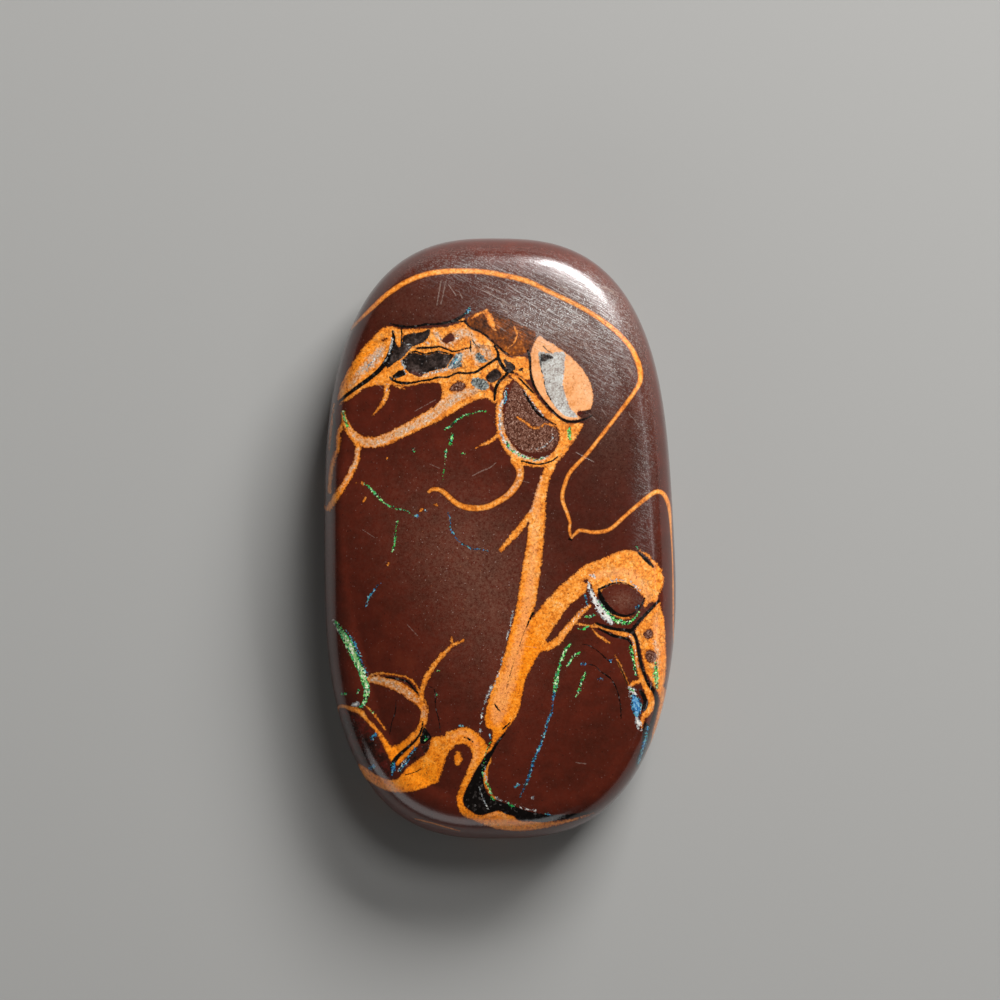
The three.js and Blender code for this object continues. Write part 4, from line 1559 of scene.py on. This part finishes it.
    def relief(self):
        """Heights of the grain, the wear, the scratches and the seams."""
        worn_and_sheen = self.field("worn_and_sheen")
        return self.total(
            (self.fine, 0.5), (self.grain, 0.5), (self.brushed, self.times(worn_and_sheen, 4)),
            (self.grain, self.times(worn_and_sheen, 1.5)), (self.mask["scratch"], -0.8), (self.mask["dark"], -0.25),
        )


def stone_material():
    material = bpy.data.materials.new("boulder_opal_stone")
    material.use_nodes = True
    nodes = StoneNodes(material.node_tree)
    bump = nodes.add("ShaderNodeBump", {"Strength": 0.35, "Distance": 0.00002, "Height": nodes.relief()})
    inputs = {
        "Base Color": nodes.colour(), "Roughness": nodes.roughness(), "Normal": bump.outputs[0],
        "IOR": 1.6, "Coat Weight": 0.25, "Coat Roughness": 0.12,
    }
    shader = material.node_tree.nodes["Principled BSDF"]
    for name, value in inputs.items():
        nodes.put(shader.inputs[name], value)
    return material


def lay_out_map(mesh, points):
    """A map of the surface: the upper side and the back each unrolled in its own half."""
    vertex = np.empty(len(mesh.loops), dtype=np.int32)
    mesh.loops.foreach_get("vertex_index", vertex)
    total = np.empty(len(mesh.polygons), dtype=np.int32)
    mesh.polygons.foreach_get("loop_total", total)
    face_of_loop = np.repeat(np.arange(len(total)), total)
    lowest = np.full(len(total), np.inf)
    np.minimum.at(lowest, face_of_loop, points[vertex, 2])
    upper = lowest[face_of_loop] > BELT_HEIGHT - BELT_SLACK

    x, y, z = points.T
    out = np.maximum(np.hypot(x, y), MAP_CORE)
    top = (1 + np.maximum(MAP_SIDE_TOP - z, 0) / out * MAP_TOP_SPREAD) / MAP_LENGTH
    back = (1 + z / out * MAP_BACK_SPREAD) / (MAP_LENGTH * MAP_BACK_SHRINK)
    top_map = np.column_stack([MAP_TOP_MIDDLE + x * top, 0.5 + y * top])
    back_map = np.column_stack([MAP_BACK_MIDDLE - x * back, 0.5 + y * back])
    places = np.where(upper[:, None], top_map[vertex], back_map[vertex])
    layer = mesh.uv_layers.new(name="OFBake")
    layer.data.foreach_set("uv", places.astype(np.float32).ravel())


def add_object(name, data):
    thing = bpy.data.objects.new(name, data)
    bpy.context.scene.collection.objects.link(thing)
    return thing


def build_stone():
    points, faces = stone_mesh()
    mesh = bpy.data.meshes.new("boulder_opal_stone")
    mesh.from_pydata((points / MM_PER_METRE).tolist(), [], faces)
    work = bmesh.new()
    work.from_mesh(mesh)
    bmesh.ops.remove_doubles(work, verts=work.verts, dist=WELD_DISTANCE)
    work.to_mesh(mesh)
    work.free()
    mesh.validate()
    coordinates = np.empty(len(mesh.vertices) * 3)
    mesh.vertices.foreach_get("co", coordinates)
    points = coordinates.reshape(-1, 3) * MM_PER_METRE
    for name, values in build_fields(points).items():
        layer = mesh.attributes.new(name, "FLOAT", "POINT")
        layer.data.foreach_set("value", values.astype(np.float32))
    mesh.polygons.foreach_set("use_smooth", np.ones(len(mesh.polygons), dtype=bool))
    lay_out_map(mesh, points)
    mesh.update()
    mesh.materials.append(stone_material())
    stone = add_object("boulder_opal_stone", mesh)
    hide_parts("boulder_opal")
    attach(stone, "root")


def build_floor():
    mesh = bpy.data.meshes.new("floor")
    corners = [(x * FLOOR_HALF, y * FLOOR_HALF, 0) for x, y in ((-1, -1), (1, -1), (1, 1), (-1, 1))]
    mesh.from_pydata(corners, [], [(0, 1, 2, 3)])
    material = bpy.data.materials.new("floor")
    material.use_nodes = True
    shader = material.node_tree.nodes["Principled BSDF"]
    shader.inputs["Base Color"].default_value = FLOOR_COLOUR
    shader.inputs["Roughness"].default_value = 0.9
    mesh.materials.append(material)
    add_object("floor", mesh)


def add_light(name, azimuth, elevation, distance, size, power):
    """A soft area light that faces the stone."""
    across, up = math.radians(azimuth), math.radians(elevation)
    level = distance * math.cos(up)
    place_at = (level * math.cos(across), level * math.sin(across), distance * math.sin(up))
    data = bpy.data.lights.new(name, "AREA")
    data.shape = "RECTANGLE"
    data.size, data.size_y = size
    data.energy = power
    light = add_object(name, data)
    light.location = place_at
    light.rotation_euler = (-Vector(place_at)).to_track_quat("-Z", "Y").to_euler()


def light_and_camera():
    scene = bpy.context.scene
    scene.view_settings.view_transform = "Standard"
    for name, settings in LIGHTS.items():
        add_light(name, *settings)
    scene.world = bpy.data.worlds.new("studio")
    scene.world.use_nodes = True
    background = scene.world.node_tree.nodes["Background"]
    background.inputs["Color"].default_value = STUDIO_COLOUR
    background.inputs["Strength"].default_value = STUDIO_STRENGTH
    data = bpy.data.cameras.new("camera")
    data.lens = LENS
    data.sensor_width = SENSOR
    data.sensor_height = SENSOR
    data.clip_start = 0.01
    scene.camera = add_object("camera", data)
    scene.camera.location = (0, CAMERA_ALONG / MM_PER_METRE, CAMERA_HEIGHT / MM_PER_METRE)


build_floor()
build_stone()
light_and_camera()

bpy.context.view_layer.update()
